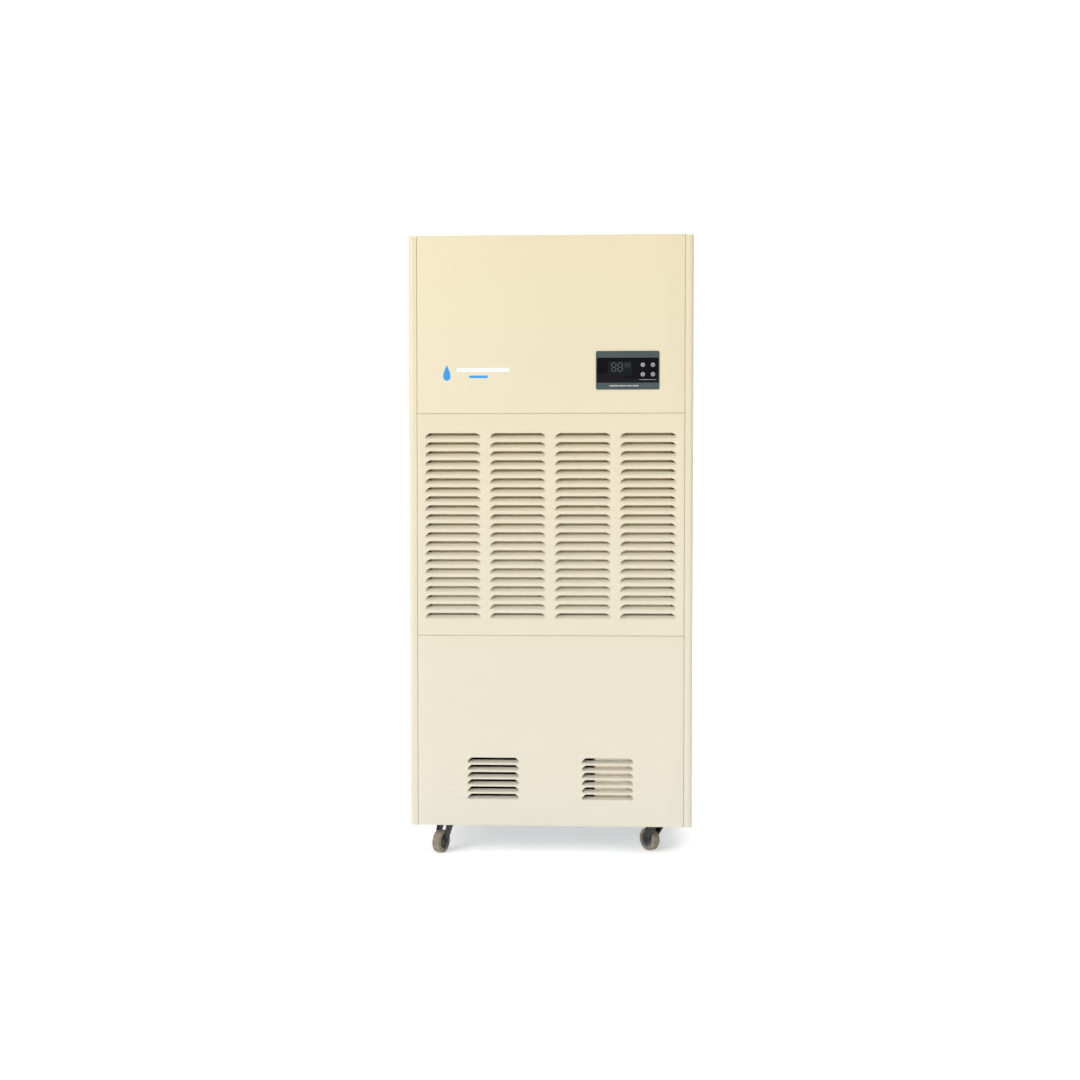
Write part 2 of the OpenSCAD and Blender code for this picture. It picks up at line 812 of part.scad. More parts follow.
module drip_tray() {
    color(galvanised)
    difference() {
        union() {
            deck(tray_z);
            for (hole = tray_holes) translate([hole.x, hole.y, tray_z])
                cylinder(d = hole.z + 2 * pipe_collar, h = collar_h);
            translate([drain_x, drain_y, tray_z - drain_stub_h]) cylinder(d = hose_d, h = drain_stub_h);
        }
        for (hole = tray_holes) translate([hole.x, hole.y, tray_z - cut])
            cylinder(d = hole.z, h = collar_h + 2 * cut);
        translate([drain_x, drain_y, tray_z - drain_stub_h - cut])
            cylinder(d = drain_bore, h = drain_stub_h + deck_t + 2 * cut);
    }
}

module fan_deck() {
    opening_x = outlet_w / 2 + 20;
    opening_w = coil_half_w - opening_x;
    opening_y = condenser_y + coil_d + 20;
    color(galvanised)
    difference() {
        deck(fan_deck_z);
        for (side = [0, 1]) mirror([side, 0, 0])
            translate([opening_x, opening_y, fan_deck_z - cut])
                cube([opening_w, frame_y - 30 - opening_y, deck_t + 2 * cut]);
        translate([loom_x, loom_y, fan_deck_z - cut])
            cylinder(d = loom_d + 2 * loose_gap, h = deck_t + 2 * cut);
    }
}

// ---- Fan, its axis along X at fan_y and fan_z ----

function scroll_r(angle, first) = scroll_r0 + scroll_growth * (angle - first) / (360 - first);

// The scroll's line from the front of the outlet, round the impeller and up the back of the outlet
function scroll_line(offset, first) = concat(
    [[-outlet_d / 2 - offset, grille_z]],
    [for (i = [0 : scroll_steps]) let (a = first + (360 - first) * i / scroll_steps)
        [fan_y, fan_z] + (scroll_r(a, first) + offset) * [cos(a), sin(a)]],
    [[outlet_d / 2 + offset, grille_z]]
);

module scroll_sheet() {
    inner = scroll_line(0, tongue_angle);
    outer = scroll_line(scroll_t, tongue_outer);
    polygon(concat(outer, [for (i = [len(inner) - 1 : -1 : 0]) inner[i]]));
}

module scroll_cheek() {
    leg_w = 40;
    foot_y = [fan_y - scroll_r0 + leg_w / 2, fan_y + scroll_r0 - leg_w / 2];
    difference() {
        union() {
            polygon(scroll_line(scroll_t, tongue_outer));
            for (y = foot_y) translate([y - leg_w / 2, fan_deck_top]) square([leg_w, fan_z - fan_deck_top]);
        }
        translate([fan_y, fan_z]) circle(inlet_r);
    }
}

module scroll_housing() {
    color(galvanised) {
        across(outlet_w) scroll_sheet();
        for (side = [-1, 1]) translate([side * (outlet_w + scroll_t) / 2, 0, 0])
            across(scroll_t) scroll_cheek();
    }
}

module impeller() {
    shaft_gap = 0.03;
    shaft_end = motor_x - motor_bore + shaft_end_gap;
    color(black_paint)
    translate([0, fan_y, fan_z]) {
        across(impeller_w) for (i = [0 : impeller_blades - 1]) rotate(i * 360 / impeller_blades)
            translate([impeller_r - blade_depth, -blade_t / 2]) square([blade_depth - 1, blade_t]);
        for (side = [-1, 1]) translate([side * (impeller_w - ring_t) / 2, 0, 0]) across(ring_t) difference() {
            circle(impeller_r);
            circle(impeller_r - blade_depth);
        }
        across(ring_t) difference() {
            circle(impeller_r);
            circle(d = shaft_d + 2 * shaft_gap);
        }
        across(fan_hub_w) difference() {
            circle(d = fan_hub_d);
            circle(d = shaft_d + 2 * shaft_gap);
        }
        translate([shaft_end, 0, 0]) rotate([0, 90, 0]) cylinder(d = shaft_d, h = fan_hub_w - shaft_end);
    }
}

module fan_motor() {
    foot_h = fan_z - fan_deck_top;
    foot_len = 60;
    foot_inset = 5;
    color("#3d4a5a")
    difference() {
        union() {
            translate([motor_x - motor_len, fan_y, fan_z]) rotate([0, 90, 0])
                cylinder(d = motor_d, h = motor_len);
            translate([motor_x - (motor_len + foot_len) / 2, fan_y - motor_d / 2 + foot_inset, fan_deck_top])
                cube([foot_len, motor_d / 2, foot_h]);
        }
        translate([motor_x - motor_bore, fan_y, fan_z]) rotate([0, 90, 0])
            cylinder(d = shaft_d + 2 * running_gap, h = motor_bore + cut);
    }
}

// ---- Refrigeration ----

// A shell with domed ends, standing on z = 0
module domed_shell(d, h) {
    dome = d / 5;
    rotate_extrude() polygon(concat(
        [[0, 0]],
        [for (i = [0 : 6]) [d / 2 * sin(15 * i), dome - dome * cos(15 * i)]],
        [for (i = [0 : 6]) [d / 2 * cos(15 * i), h - dome + dome * sin(15 * i)]]
    ));
}

module at_mounts() {
    for (x = [-1, 1], y = [-1, 1])
        translate([compressor_x + x * mount_span / 2, compressor_y + y * mount_span / 2, 0]) children();
}

module compressor() {
    color(black_paint)
    difference() {
        union() {
            translate([compressor_x, compressor_y, shell_z]) domed_shell(compressor_d, compressor_h);
            translate([compressor_x - foot_w / 2, compressor_y - foot_w / 2, shell_z - foot_t])
                cube([foot_w, foot_w, foot_t]);
            translate([compressor_x, compressor_y, shell_z - foot_t])
                cylinder(d = shell_base_d, h = shell_base_h);
            translate([accumulator_x, compressor_y, accumulator_z])
                domed_shell(accumulator_d, accumulator_h);
            translate([accumulator_x, compressor_y - bracket_w / 2, accumulator_z + accumulator_h / 2])
                cube([compressor_x - accumulator_x, bracket_w, bracket_h]);
        }
        at_mounts() translate([0, 0, shell_z - foot_t - cut])
            cylinder(d = mount_hole_d, h = foot_t + 2 * cut);
    }
}

// Rubber grommets that carry the compressor's feet, each with its bolt
module compressor_mounts() {
    grommet_d = 30;
    bolt_d = 10;
    nut_h = 8;
    nut_d = 17;
    color(dark_rubber) at_mounts() {
        translate([0, 0, pan_top]) cylinder(d = grommet_d, h = mount_h);
        translate([0, 0, pan_top + mount_h]) cylinder(d = bolt_d, h = foot_t + nut_h);
        translate([0, 0, shell_z]) cylinder(d = nut_d, h = nut_h, $fn = 6);
    }
}

module suction_pipe() {
    color(copper) swept_tube([
        [coil_end_x, evaporator_mid, coil_last_z],
        [-pipe_x, evaporator_mid, coil_last_z],
        [-pipe_x, suction_y, coil_last_z - pipe_shift],
        [-pipe_x, suction_y, shell_top + suction_turn],
        [accumulator_x, compressor_y, shell_top + suction_drop],
        [accumulator_x, compressor_y, accumulator_z + accumulator_h]
    ], suction_d, pipe_bend);
}

module discharge_pipe() {
    color(copper) swept_tube([
        [coil_end_x, condenser_mid, coil_last_z],
        [-pipe_x, condenser_mid, coil_last_z],
        [-pipe_x, discharge_y, coil_last_z - pipe_shift],
        [-pipe_x, discharge_y, shell_top + discharge_turn],
        [compressor_x, compressor_y, shell_top + discharge_drop],
        [compressor_x, compressor_y, shell_top]
    ], discharge_d, pipe_bend);
}

// The pipe from the condenser to the evaporator, with its drier
module liquid_line() {
    color(copper) swept_tube([
        [coil_end_x, condenser_mid, coil_first_z],
        [-pipe_x, condenser_mid, coil_first_z],
        [-pipe_x, evaporator_mid, coil_first_z],
        [coil_end_x, evaporator_mid, coil_first_z]
    ], coil_tube_d, pipe_bend);
    color(copper) translate([-pipe_x, (condenser_mid + evaporator_mid + drier_len) / 2, coil_first_z])
        rotate([90, 0, 0]) cylinder(d = drier_d, h = drier_len);
}

module drain_hose() {
    hose_bend = 25;
    color(dark_rubber) swept_tube([
        [drain_x, drain_y, tray_z - drain_stub_h],
        [drain_x, drain_y, spigot_z],
        [drain_x, half_d - spigot_inner, spigot_z]
    ], hose_d, hose_bend);
}

// The pipe stub behind the rear panel that a drain hose is pushed onto
module drain_spigot() {
    length = spigot_inner + spigot_flange_t + spigot_len;
    color(grey_plastic)
    on_back(spigot_z) translate([-drain_x, 0, 0]) difference() {
        union() {
            cylinder(d = spigot_flange_d, h = spigot_flange_t);
            translate([0, 0, -spigot_inner]) cylinder(d = spigot_d, h = length);
            translate([0, 0, -panel_t - spigot_nut_h]) cylinder(d = spigot_nut_d, h = spigot_nut_h, $fn = 6);
        }
        translate([0, 0, -spigot_inner - cut]) cylinder(d = drain_bore, h = length + 2 * cut);
    }
}

// ---- Electrics ----

// The box stands on two rails, one beside and one between the caster bolts
module electrical_box() {
    rail_y = -frame_y + deck_t + loose_gap;
    color("#d9c9a8") {
        difference() {
            translate([box_x, box_y + box_t, box_z]) cube([box_w, box_d, box_h]);
            translate([box_x + box_t, box_y, box_z + box_t])
                cube([box_w - 2 * box_t, box_d, box_h - 2 * box_t]);
        }
        for (x = [box_x, caster_x - foot_rail_w / 2]) translate([x, rail_y, pan_top])
            cube([foot_rail_w, box_y + box_t + box_d - rail_y, box_z - pan_top]);
    }
}

module electrical_cover() {
    color("#d9c9a8") translate([box_x, box_y, box_z]) cube([box_w, box_t, box_h]);
}

// Contactor, starter, terminals and board on their back plate
module control_gear() {
    plate_t = 2;
    plate_side = 6;
    plate_end = 10;
    plate_y = box_y + box_d - plate_t;
    // Each device: its place on the plate, then its width, height and depth
    devices = [
        [14, 180, 60, 80, 75],
        [84, 180, 50, 80, 68],
        [144, 180, 48, 70, 60],
        [14, 95, 178, 50, 40],
        [14, 20, 178, 50, 45]
    ];
    color("#3a6b4c") {
        translate([box_x + plate_side, plate_y, box_z + plate_end])
            cube([box_w - 2 * plate_side, plate_t, box_h - 2 * plate_end]);
        for (d = devices) translate([box_x + d[0], plate_y - d[4], box_z + d[1]])
            cube([d[2], d[4], d[3]]);
    }
}

// The loom goes from the electrical box up the right side, to the display and to the fan's motor
module wiring_loom() {
    loom_top = box_z + box_h;
    start_x = box_x + box_w - loom_start;
    rear_of_display = -half_d + bezel_depth;
    lead_x = motor_x - motor_len - motor_lead_end;
    lead_y = fan_y + motor_d / 2 + motor_lead_reach;
    lead_z = fan_deck_top + motor_lead_rise;
    color("#202124") {
        swept_tube([
            [start_x, loom_y, loom_top],
            [start_x, loom_y, loom_top + loom_rise],
            [loom_x, loom_y, loom_top + loom_rise],
            [loom_x, loom_y, display_z],
            [display_x, loom_y, display_z],
            [display_x, rear_of_display, display_z]
        ], loom_d, loom_bend, 8);
        swept_tube([
            [loom_x, loom_y + loom_d / 2, lead_z],
            [loom_x, lead_y, lead_z],
            [lead_x, lead_y, lead_z],
            [lead_x, fan_y, fan_z],
            [motor_x - motor_len, fan_y, fan_z]
        ], motor_lead_d, motor_lead_bend, 8);
    }
}

module humidity_sensor() {
    color("#e8e8e4")
    translate([-pipe_x + sensor_gap, evaporator_y - sensor_d / 2, fan_deck_z - sensor_h]) {
        cylinder(d = sensor_d, h = sensor_body_h);
        cylinder(d = sensor_stem_d, h = sensor_h);
    }
}

module cable_gland() {
    length = gland_in + gland_out;
    color("#202124")
    on_back(gland_z) translate([-gland_x, 0, 0]) difference() {
        union() {
            translate([0, 0, -gland_in]) cylinder(d = gland_thread_d, h = length);
            cylinder(d = gland_nut_d, h = gland_out / 2, $fn = 6);
            translate([0, 0, -panel_t - gland_nut_h]) cylinder(d = gland_nut_d, h = gland_nut_h, $fn = 6);
        }
        translate([0, 0, -gland_in - cut]) cylinder(d = gland_bore, h = length + 2 * cut);
    }
}

// ---- Display ----

// Middle of each button, from the middle of the display
function button_at(column, row) = [
    buttons_x + (column - 0.5) * button_pitch_x,
    buttons_y + (row - 0.5) * button_pitch_z
];

module at_buttons() {
    for (column = [0, 1], row = [0, 1]) translate(button_at(column, row)) children();
}

module display_bezel() {
    housing_w = bezel_w - 2 * bezel_lip - 2 * loose_gap;
    housing_h = bezel_h - 2 * bezel_lip - 2 * loose_gap;
    color(grey_plastic)
    on_display() difference() {
        union() {
            linear_extrude(bezel_t) polygon(rounded_outline(bezel_w, bezel_h, bezel_r));
            translate([-housing_w / 2, -housing_h / 2, -bezel_depth])
                cube([housing_w, housing_h, bezel_depth]);
        }
        translate([-window_w / 2, -window_h / 2, bezel_t - window_t]) cube([window_w, window_h, bezel_t]);
        translate([lcd_x - lcd_w / 2, lcd_y - lcd_h / 2, bezel_t - window_t - lcd_t])
            cube([lcd_w, lcd_h, lcd_t + cut]);
        at_buttons() translate([0, 0, -pocket_depth])
            cylinder(d = button_d + 2 * button_gap, h = pocket_depth + bezel_t);
    }
}

module display_window() {
    color("#101112")
    on_display() difference() {
        translate([-window_w / 2 + window_gap, -window_h / 2 + window_gap, bezel_t - window_t])
            cube([window_w - 2 * window_gap, window_h - 2 * window_gap, window_t]);
        at_buttons() translate([0, 0, bezel_t - window_t - cut])
            cylinder(d = button_d + 2 * button_gap, h = window_t + 2 * cut);
    }
}

module lcd_screen() {
    color("#20262a")
    on_display() translate([lcd_x, lcd_y, bezel_t - window_t - lcd_t]) linear_extrude(lcd_t)
        square([lcd_w - 2 * window_gap, lcd_h - 2 * window_gap], center = true);
}

module button(column, row) {
    color("#8b9496")
    on_display() translate(button_at(column, row)) translate([0, 0, -button_back])
        cylinder(d = button_d, h = button_back + bezel_t + button_out);
}

module button_power() { button(0, 1); }
module button_menu() { button(1, 1); }
module button_down() { button(0, 0); }
module button_up() { button(1, 0); }

// ---- Casters ----

module at_casters() {
    for (x = [-1, 1], y = [-1, 1]) translate([x * caster_x, y * caster_y, 0]) children();
}

module at_plate_bolts() {
    reach = caster_plate / 2 - plate_bolt_inset;
    for (x = [-1, 1], y = [-1, 1]) translate([x * reach, y * reach, 0]) children();
}

// The fixed plates under the base pan, each with its kingpin and its bolts
module caster_plates() {
    pin_bottom = race_z - running_gap - kingpin_head_h;
    color(galvanised) at_casters() {
        difference() {
            union() {
                translate([-caster_plate / 2, -caster_plate / 2, plate_z])
                    cube([caster_plate, caster_plate, caster_plate_t]);
                translate([0, 0, pin_bottom]) cylinder(d = kingpin_d, h = plate_z - pin_bottom);
                translate([0, 0, pin_bottom]) cylinder(d = kingpin_head_d, h = kingpin_head_h);
            }
            at_plate_bolts() translate([0, 0, plate_z - cut])
                cylinder(d = caster_bolt_hole_d, h = caster_plate_t + 2 * cut);
        }
        at_plate_bolts() translate([0, 0, plate_z - running_gap]) {
            translate([0, 0, -caster_bolt_head_h])
                cylinder(d = caster_bolt_head_d, h = caster_bolt_head_h, $fn = 6);
            cylinder(d = caster_bolt_d, h = pan_top + caster_bolt_out - plate_z);
            translate([0, 0, pan_top + 2 * running_gap - plate_z])
                cylinder(d = caster_bolt_head_d, h = caster_bolt_nut_h, $fn = 6);
        }
    }
}

// One side of a fork, seen from its side: x towards the axle, y up
module fork_side() {
    leg_top = race_z + fork_top_t;
    leg_front = race_r * 0.9;
    leg_back = -race_r * 0.8;
    polygon([
        [leg_back, leg_top], [leg_back, leg_top - fork_neck_h],
        [caster_trail - fork_eye_r, wheel_d / 2], [caster_trail + fork_eye_r, wheel_d / 2],
        [leg_front, leg_top]
    ]);
    translate([caster_trail, wheel_d / 2]) circle(fork_eye_r);
}

// A swivelling fork with its axle, trailing towards +X from the swivel's axis
module fork() {
    outer = fork_inner + fork_t;
    color("#55585a") {
        difference() {
            union() {
                translate([0, 0, race_z]) cylinder(r = race_r, h = race_h);
                for (side = [-1, 1]) translate([0, side * (fork_inner + fork_t / 2), 0])
                    rotate([90, 0, 0]) linear_extrude(fork_t, center = true) fork_side();
            }
            translate([0, 0, race_z - cut]) cylinder(d = kingpin_d + 2 * running_gap, h = race_h + 2 * cut);
        }
        translate([caster_trail, outer + axle_nut_t, wheel_d / 2]) rotate([90, 0, 0])
            cylinder(d = axle_d, h = 2 * (outer + axle_nut_t));
        for (side = [-1, 1]) translate([caster_trail, side * (outer + axle_nut_t / 2), wheel_d / 2])
            rotate([90, 0, 0]) cylinder(d = axle_nut_d, h = axle_nut_t, center = true);
    }
}

module hub() {
    boss_r = axle_d / 2 + hub_boss_t;
    rim_r = wheel_d / 2 - tyre_t;
    rim_w = wheel_w - 2 * hub_rim_step;
    color("#8d8f8e")
    translate([caster_trail, 0, wheel_d / 2]) rotate([90, 0, 0]) rotate_extrude() difference() {
        union() {
            translate([0, -wheel_hub_w / 2]) square([boss_r, wheel_hub_w]);
            translate([0, -hub_web_t / 2]) square([rim_r, hub_web_t]);
            translate([rim_r - hub_rim_t, -rim_w / 2]) square([hub_rim_t, rim_w]);
        }
        translate([-cut, -wheel_hub_w]) square([axle_d / 2 + running_gap + cut, 2 * wheel_hub_w]);
    }
}

module tyre() {
    edge = wheel_w / 2 - tyre_edge_r;
    color("#c9c2b4")
    translate([caster_trail, 0, wheel_d / 2]) rotate([90, 0, 0]) rotate_extrude() polygon(concat(
        [[wheel_d / 2 - tyre_t, wheel_w / 2], [wheel_d / 2 - tyre_t, -wheel_w / 2]],
        arc([wheel_d / 2 - tyre_edge_r, -edge], tyre_edge_r, 270, 360),
        arc([wheel_d / 2 - tyre_edge_r, edge], tyre_edge_r, 0, 90)
    ));
}

module at_front_left() { translate([-caster_x, -caster_y, 0]) rotate(front_left_turn) children(); }
module at_front_right() { translate([caster_x, -caster_y, 0]) rotate(front_right_turn) children(); }
module at_rear_left() { translate([-caster_x, caster_y, 0]) rotate(rear_left_turn) children(); }
module at_rear_right() { translate([caster_x, caster_y, 0]) rotate(rear_right_turn) children(); }

module front_left_fork() { at_front_left() fork(); }
module front_right_fork() { at_front_right() fork(); }
module rear_left_fork() { at_rear_left() fork(); }
module rear_right_fork() { at_rear_right() fork(); }
module front_left_hub() { at_front_left() hub(); }
module front_right_hub() { at_front_right() hub(); }
module rear_left_hub() { at_rear_left() hub(); }
module rear_right_hub() { at_rear_right() hub(); }
module front_left_tyre() { at_front_left() tyre(); }
module front_right_tyre() { at_front_right() tyre(); }
module rear_left_tyre() { at_rear_left() tyre(); }
module rear_right_tyre() { at_rear_right() tyre(); }
module post_front_left() { post(false, false); }
module post_front_right() { post(true, false); }
module post_rear_left() { post(false, true); }
module post_rear_right() { post(true, true); }

base_pan();
post_front_left();
post_front_right();
post_rear_left();
post_rear_right();
corner_caps();
top_cover();
outlet_grille();
left_side_panel();
right_side_panel();
front_top_panel();
front_intake_panel();
front_lower_panel();
rear_upper_panel();
rear_lower_panel();
panel_screws();
filter_frame();
filter_mesh();
evaporator_fins();
evaporator_tubes();
condenser_fins();
condenser_tubes();
drip_tray();
drain_hose();
drain_spigot();
fan_deck();
scroll_housing();
impeller();
fan_motor();
compressor();
compressor_mounts();
suction_pipe();
discharge_pipe();
liquid_line();
electrical_box();
electrical_cover();
control_gear();
wiring_loom();
display_bezel();
display_window();
lcd_screen();
button_power();
button_menu();
button_up();
button_down();
cable_gland();
humidity_sensor();
caster_plates();
front_left_fork();
front_right_fork();
rear_left_fork();
rear_right_fork();
front_left_hub();
front_right_hub();
rear_left_hub();
rear_right_hub();
front_left_tyre();
front_right_tyre();
rear_left_tyre();
rear_right_tyre();
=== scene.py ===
"""Looks of an upright sheet-metal dehumidifier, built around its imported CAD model."""

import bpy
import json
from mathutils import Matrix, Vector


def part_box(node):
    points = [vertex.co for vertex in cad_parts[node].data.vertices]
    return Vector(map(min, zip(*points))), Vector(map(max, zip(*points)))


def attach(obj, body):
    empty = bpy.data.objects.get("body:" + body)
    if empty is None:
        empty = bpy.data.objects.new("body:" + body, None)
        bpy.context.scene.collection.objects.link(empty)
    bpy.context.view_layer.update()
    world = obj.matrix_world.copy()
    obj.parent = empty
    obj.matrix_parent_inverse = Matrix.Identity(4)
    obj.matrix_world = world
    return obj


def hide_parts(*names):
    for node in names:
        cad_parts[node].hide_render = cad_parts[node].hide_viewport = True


bl_info = {
    "name": "Upright Dehumidifier",
    "version": (1, 0, 0),
    "blender": (4, 5, 0),
    "location": "3D View > Sidebar > Dehumidifier",
    "description": "Builds the panels, display, casters and finishes of an upright workplace dehumidifier",
    "category": "Object",
}

import json
from math import copysign, cos, hypot, pi, radians, sin, sqrt

import bpy
from bpy.props import FloatProperty, FloatVectorProperty, IntProperty, PointerProperty
from mathutils import Matrix, Vector
from mathutils.geometry import normal

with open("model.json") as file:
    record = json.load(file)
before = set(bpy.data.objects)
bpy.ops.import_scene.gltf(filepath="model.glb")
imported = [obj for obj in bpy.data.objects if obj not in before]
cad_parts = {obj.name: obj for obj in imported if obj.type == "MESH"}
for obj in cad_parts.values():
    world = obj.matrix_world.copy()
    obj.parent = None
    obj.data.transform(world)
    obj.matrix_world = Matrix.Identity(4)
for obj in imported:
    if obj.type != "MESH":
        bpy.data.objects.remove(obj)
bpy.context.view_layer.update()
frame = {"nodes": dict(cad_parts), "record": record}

MM = 0.001
CORNERS = ("front_left", "front_right", "rear_left", "rear_right")
KEYS = ("power", "menu", "up", "down")
FRAME_CORNER = 4 * MM  # radius of the display frame's corners
EDGE_SLACK = 0.2 * MM
TINY = 1e-6
NEAR = 1e-5
RING_SLACK = 3e-4  # how far a faceted ring may lie from its radius


# ---- Working on meshes ----


def object_mode():
    """Leaves edit mode, if a piece is in it."""
    if bpy.context.object and bpy.context.object.mode != "OBJECT":
        bpy.ops.object.mode_set(mode="OBJECT")


def select_none():
    """Goes to object mode with nothing selected."""
    object_mode()
    bpy.ops.object.select_all(action="DESELECT")


def only(piece):
    """Selects this piece alone and makes it active."""
    select_none()
    piece.select_set(True)
    bpy.context.view_layer.objects.active = piece
    return piece


def start(name, scale=(1, 1, 1)):
    """Names the primitive that was just added and puts its place and size into its mesh."""
    piece = bpy.context.active_object
    piece.name = name
    piece.data.name = name
    piece.scale = scale
    only(piece)
    bpy.ops.object.transform_apply(location=True, rotation=True, scale=True)
    return piece


def add_box(name, lo, hi):
    """A box between two corners."""
    lo, hi = Vector(lo), Vector(hi)
    select_none()
    bpy.ops.mesh.primitive_cube_add(size=1, location=(lo + hi) / 2)
    return start(name, hi - lo)


def add_disc(name, radius, low, high, sides=48, axis="Z"):
    """A cylinder from low to high along the Y or Z axis."""
    turn, way = {"Y": ((pi / 2, 0, 0), (0, 1, 0)), "Z": ((0, 0, 0), (0, 0, 1))}[axis]
    select_none()
    bpy.ops.mesh.primitive_cylinder_add(
        vertices=sides,
        radius=radius,
        depth=high - low,
        location=Vector(way) * (low + high) / 2,
        rotation=turn,
    )
    return start(name)


def pick(piece, kind, test):
    """Goes into edit mode with only the edges or faces that pass the test selected.

    The test gets an edge's two places, or a face's middle and normal.
    """
    only(piece)
    bpy.ops.object.mode_set(mode="EDIT")
    bpy.ops.mesh.select_mode(type=kind)
    bpy.ops.mesh.select_all(action="DESELECT")
    bpy.ops.object.mode_set(mode="OBJECT")
    mesh = piece.data
    if kind == "EDGE":
        for e in mesh.edges:
            e.select = test(*(mesh.vertices[i].co for i in e.vertices))
    else:
        for p in mesh.polygons:
            p.select = test(p.center, p.normal)
    bpy.ops.object.mode_set(mode="EDIT")


def pick_all(piece):
    """Goes into edit mode with the whole piece selected."""
    only(piece)
    bpy.ops.object.mode_set(mode="EDIT")
    bpy.ops.mesh.select_all(action="SELECT")


def picked(piece):
    """The selected vertices, back in object mode."""
    bpy.ops.object.mode_set(mode="OBJECT")
    return [v for v in piece.data.vertices if v.select]


def place(piece, matrix):
    """Moves a piece's mesh, and leaves its object at the origin."""
    object_mode()
    piece.data.transform(matrix)
    piece.data.update()
    return piece


def face_outwards(piece):
    """Turns every face of a closed piece outwards."""
    pick_all(piece)
    bpy.ops.mesh.normals_make_consistent(inside=False)
    object_mode()


def duplicate(piece, name, matrix):
    """A copy of a piece with a mesh of its own, moved."""
    copy = piece.copy()
    copy.data = piece.data.copy()
    copy.name = name
    copy.data.name = name
    bpy.context.scene.collection.objects.link(copy)
    return place(copy, matrix)


def join(name, pieces):
    """Makes one piece of several."""
    select_none()
    for piece in pieces:
        piece.select_set(True)
    bpy.context.view_layer.objects.active = pieces[0]
    bpy.ops.object.join()
    whole = bpy.context.active_object
    whole.name = name
    whole.data.name = name
    return whole


def modify(piece, kind, **settings):
    """Adds a modifier, sets it and applies it."""
    only(piece)
    modifier = piece.modifiers.new(kind.title(), kind)
    for key, value in settings.items():
        setattr(modifier, key, value)
    bpy.ops.object.modifier_apply(modifier=modifier.name)
    return piece


def round_edges(piece, width, segments=3, angle=30):
    """Bevels the edges that are sharper than an angle."""
    return modify(
        piece,
        "BEVEL",
        width=width,
        segments=segments,
        limit_method="ANGLE",
        angle_limit=radians(angle),
        harden_normals=False,
    )


def smooth(piece, angle=35):
    """Shades a piece smooth, but for edges sharper than an angle."""
    only(piece)
    bpy.ops.object.shade_smooth_by_angle(angle=radians(angle))
    return piece


def finish(piece, coat, body, *nodes, slot=None):
    """Paints a piece, fixes it to its body and hides the CAD nodes that it stands for."""
    piece.data.materials.clear()
    piece.data.materials.append(Finishes.get(coat))
    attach(piece, body)
    if nodes:
        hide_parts(*nodes)
    return piece


# ---- Materials ----


def shader_of(material):
    """The material's main shader."""
    return material.node_tree.nodes["Principled BSDF"]


def new_material(name, colour, roughness, metallic=0.0, **sockets):
    """A material with its shader set."""
    material = bpy.data.materials.new(name)
    material.use_nodes = True
    shader = shader_of(material)
    shader.inputs["Base Color"].default_value = (*colour, 1)
    shader.inputs["Roughness"].default_value = roughness
    shader.inputs["Metallic"].default_value = metallic
    for key, value in sockets.items():
        shader.inputs[key.replace("_", " ")].default_value = value
    return material


def node(material, kind, **settings):
    """Adds a node to a material and sets it."""
    new = material.node_tree.nodes.new(kind)
    for key, value in settings.items():
        setattr(new, key, value)
    return new


def link(material, source, target):
    """Joins two sockets of a material."""
    material.node_tree.links.new(source, target)


def pattern(material, scale, detail=2.0, roughness=0.5, stretch=(1, 1, 1)):
    """Noise over the object's own coordinates, stretched per axis."""
    coords = node(material, "ShaderNodeTexCoord")
    mapping = node(material, "ShaderNodeMapping")
    mapping.inputs["Scale"].default_value = stretch
    noise = node(material, "ShaderNodeTexNoise")
    noise.inputs["Scale"].default_value = scale
    noise.inputs["Detail"].default_value = detail
    noise.inputs["Roughness"].default_value = roughness
    link(material, coords.outputs["Object"], mapping.inputs["Vector"])
    link(material, mapping.outputs["Vector"], noise.inputs["Vector"])
    return noise


def vary_colour(material, noise, low, high, start=0.35, stop=0.65):
    """Lets noise move the colour between two."""
    ramp = node(material, "ShaderNodeValToRGB")
    ramp.color_ramp.elements[0].position = start
    ramp.color_ramp.elements[1].position = stop
    ramp.color_ramp.elements[0].color = (*low, 1)
    ramp.color_ramp.elements[1].color = (*high, 1)
    link(material, noise.outputs["Fac"], ramp.inputs["Fac"])
    shader = shader_of(material)
    link(material, ramp.outputs["Color"], shader.inputs["Base Color"])
    return ramp


def vary_roughness(material, noise, low, high):
    """Lets noise move the roughness between two values."""
    spread = node(material, "ShaderNodeMapRange")
    spread.inputs["To Min"].default_value = low
    spread.inputs["To Max"].default_value = high
    link(material, noise.outputs["Fac"], spread.inputs["Value"])
    shader = shader_of(material)
    link(material, spread.outputs["Result"], shader.inputs["Roughness"])


def emboss(material, noise, distance, strength=0.5):
    """Lets noise raise the surface."""
    bump = node(material, "ShaderNodeBump")
    bump.inputs["Distance"].default_value = distance
    bump.inputs["Strength"].default_value = strength
    link(material, noise.outputs["Fac"], bump.inputs["Height"])
    shader = shader_of(material)
    link(material, bump.outputs["Normal"], shader.inputs["Normal"])


def shade(colour, factor):
    """A colour made darker or lighter."""
    return tuple(min(1.0, c * factor) for c in colour)


def patterned(
    name, colour, roughness, metallic=0.0, colour_scale=20, spread=0.06, grain=900, depth=0.05, **sockets
):
    """A finish with a slow change of colour, a change of gloss and a fine grain."""
    material = new_material(name, colour, roughness, metallic, **sockets)
    broad = pattern(material, colour_scale, detail=4)
    vary_colour(material, broad, shade(colour, 1 - spread), shade(colour, 1 + spread))
    vary_roughness(material, broad, max(0.02, roughness - 0.06), roughness + 0.06)
    fine = pattern(material, grain, detail=1)
    emboss(material, fine, depth * MM, 0.4)
    return material


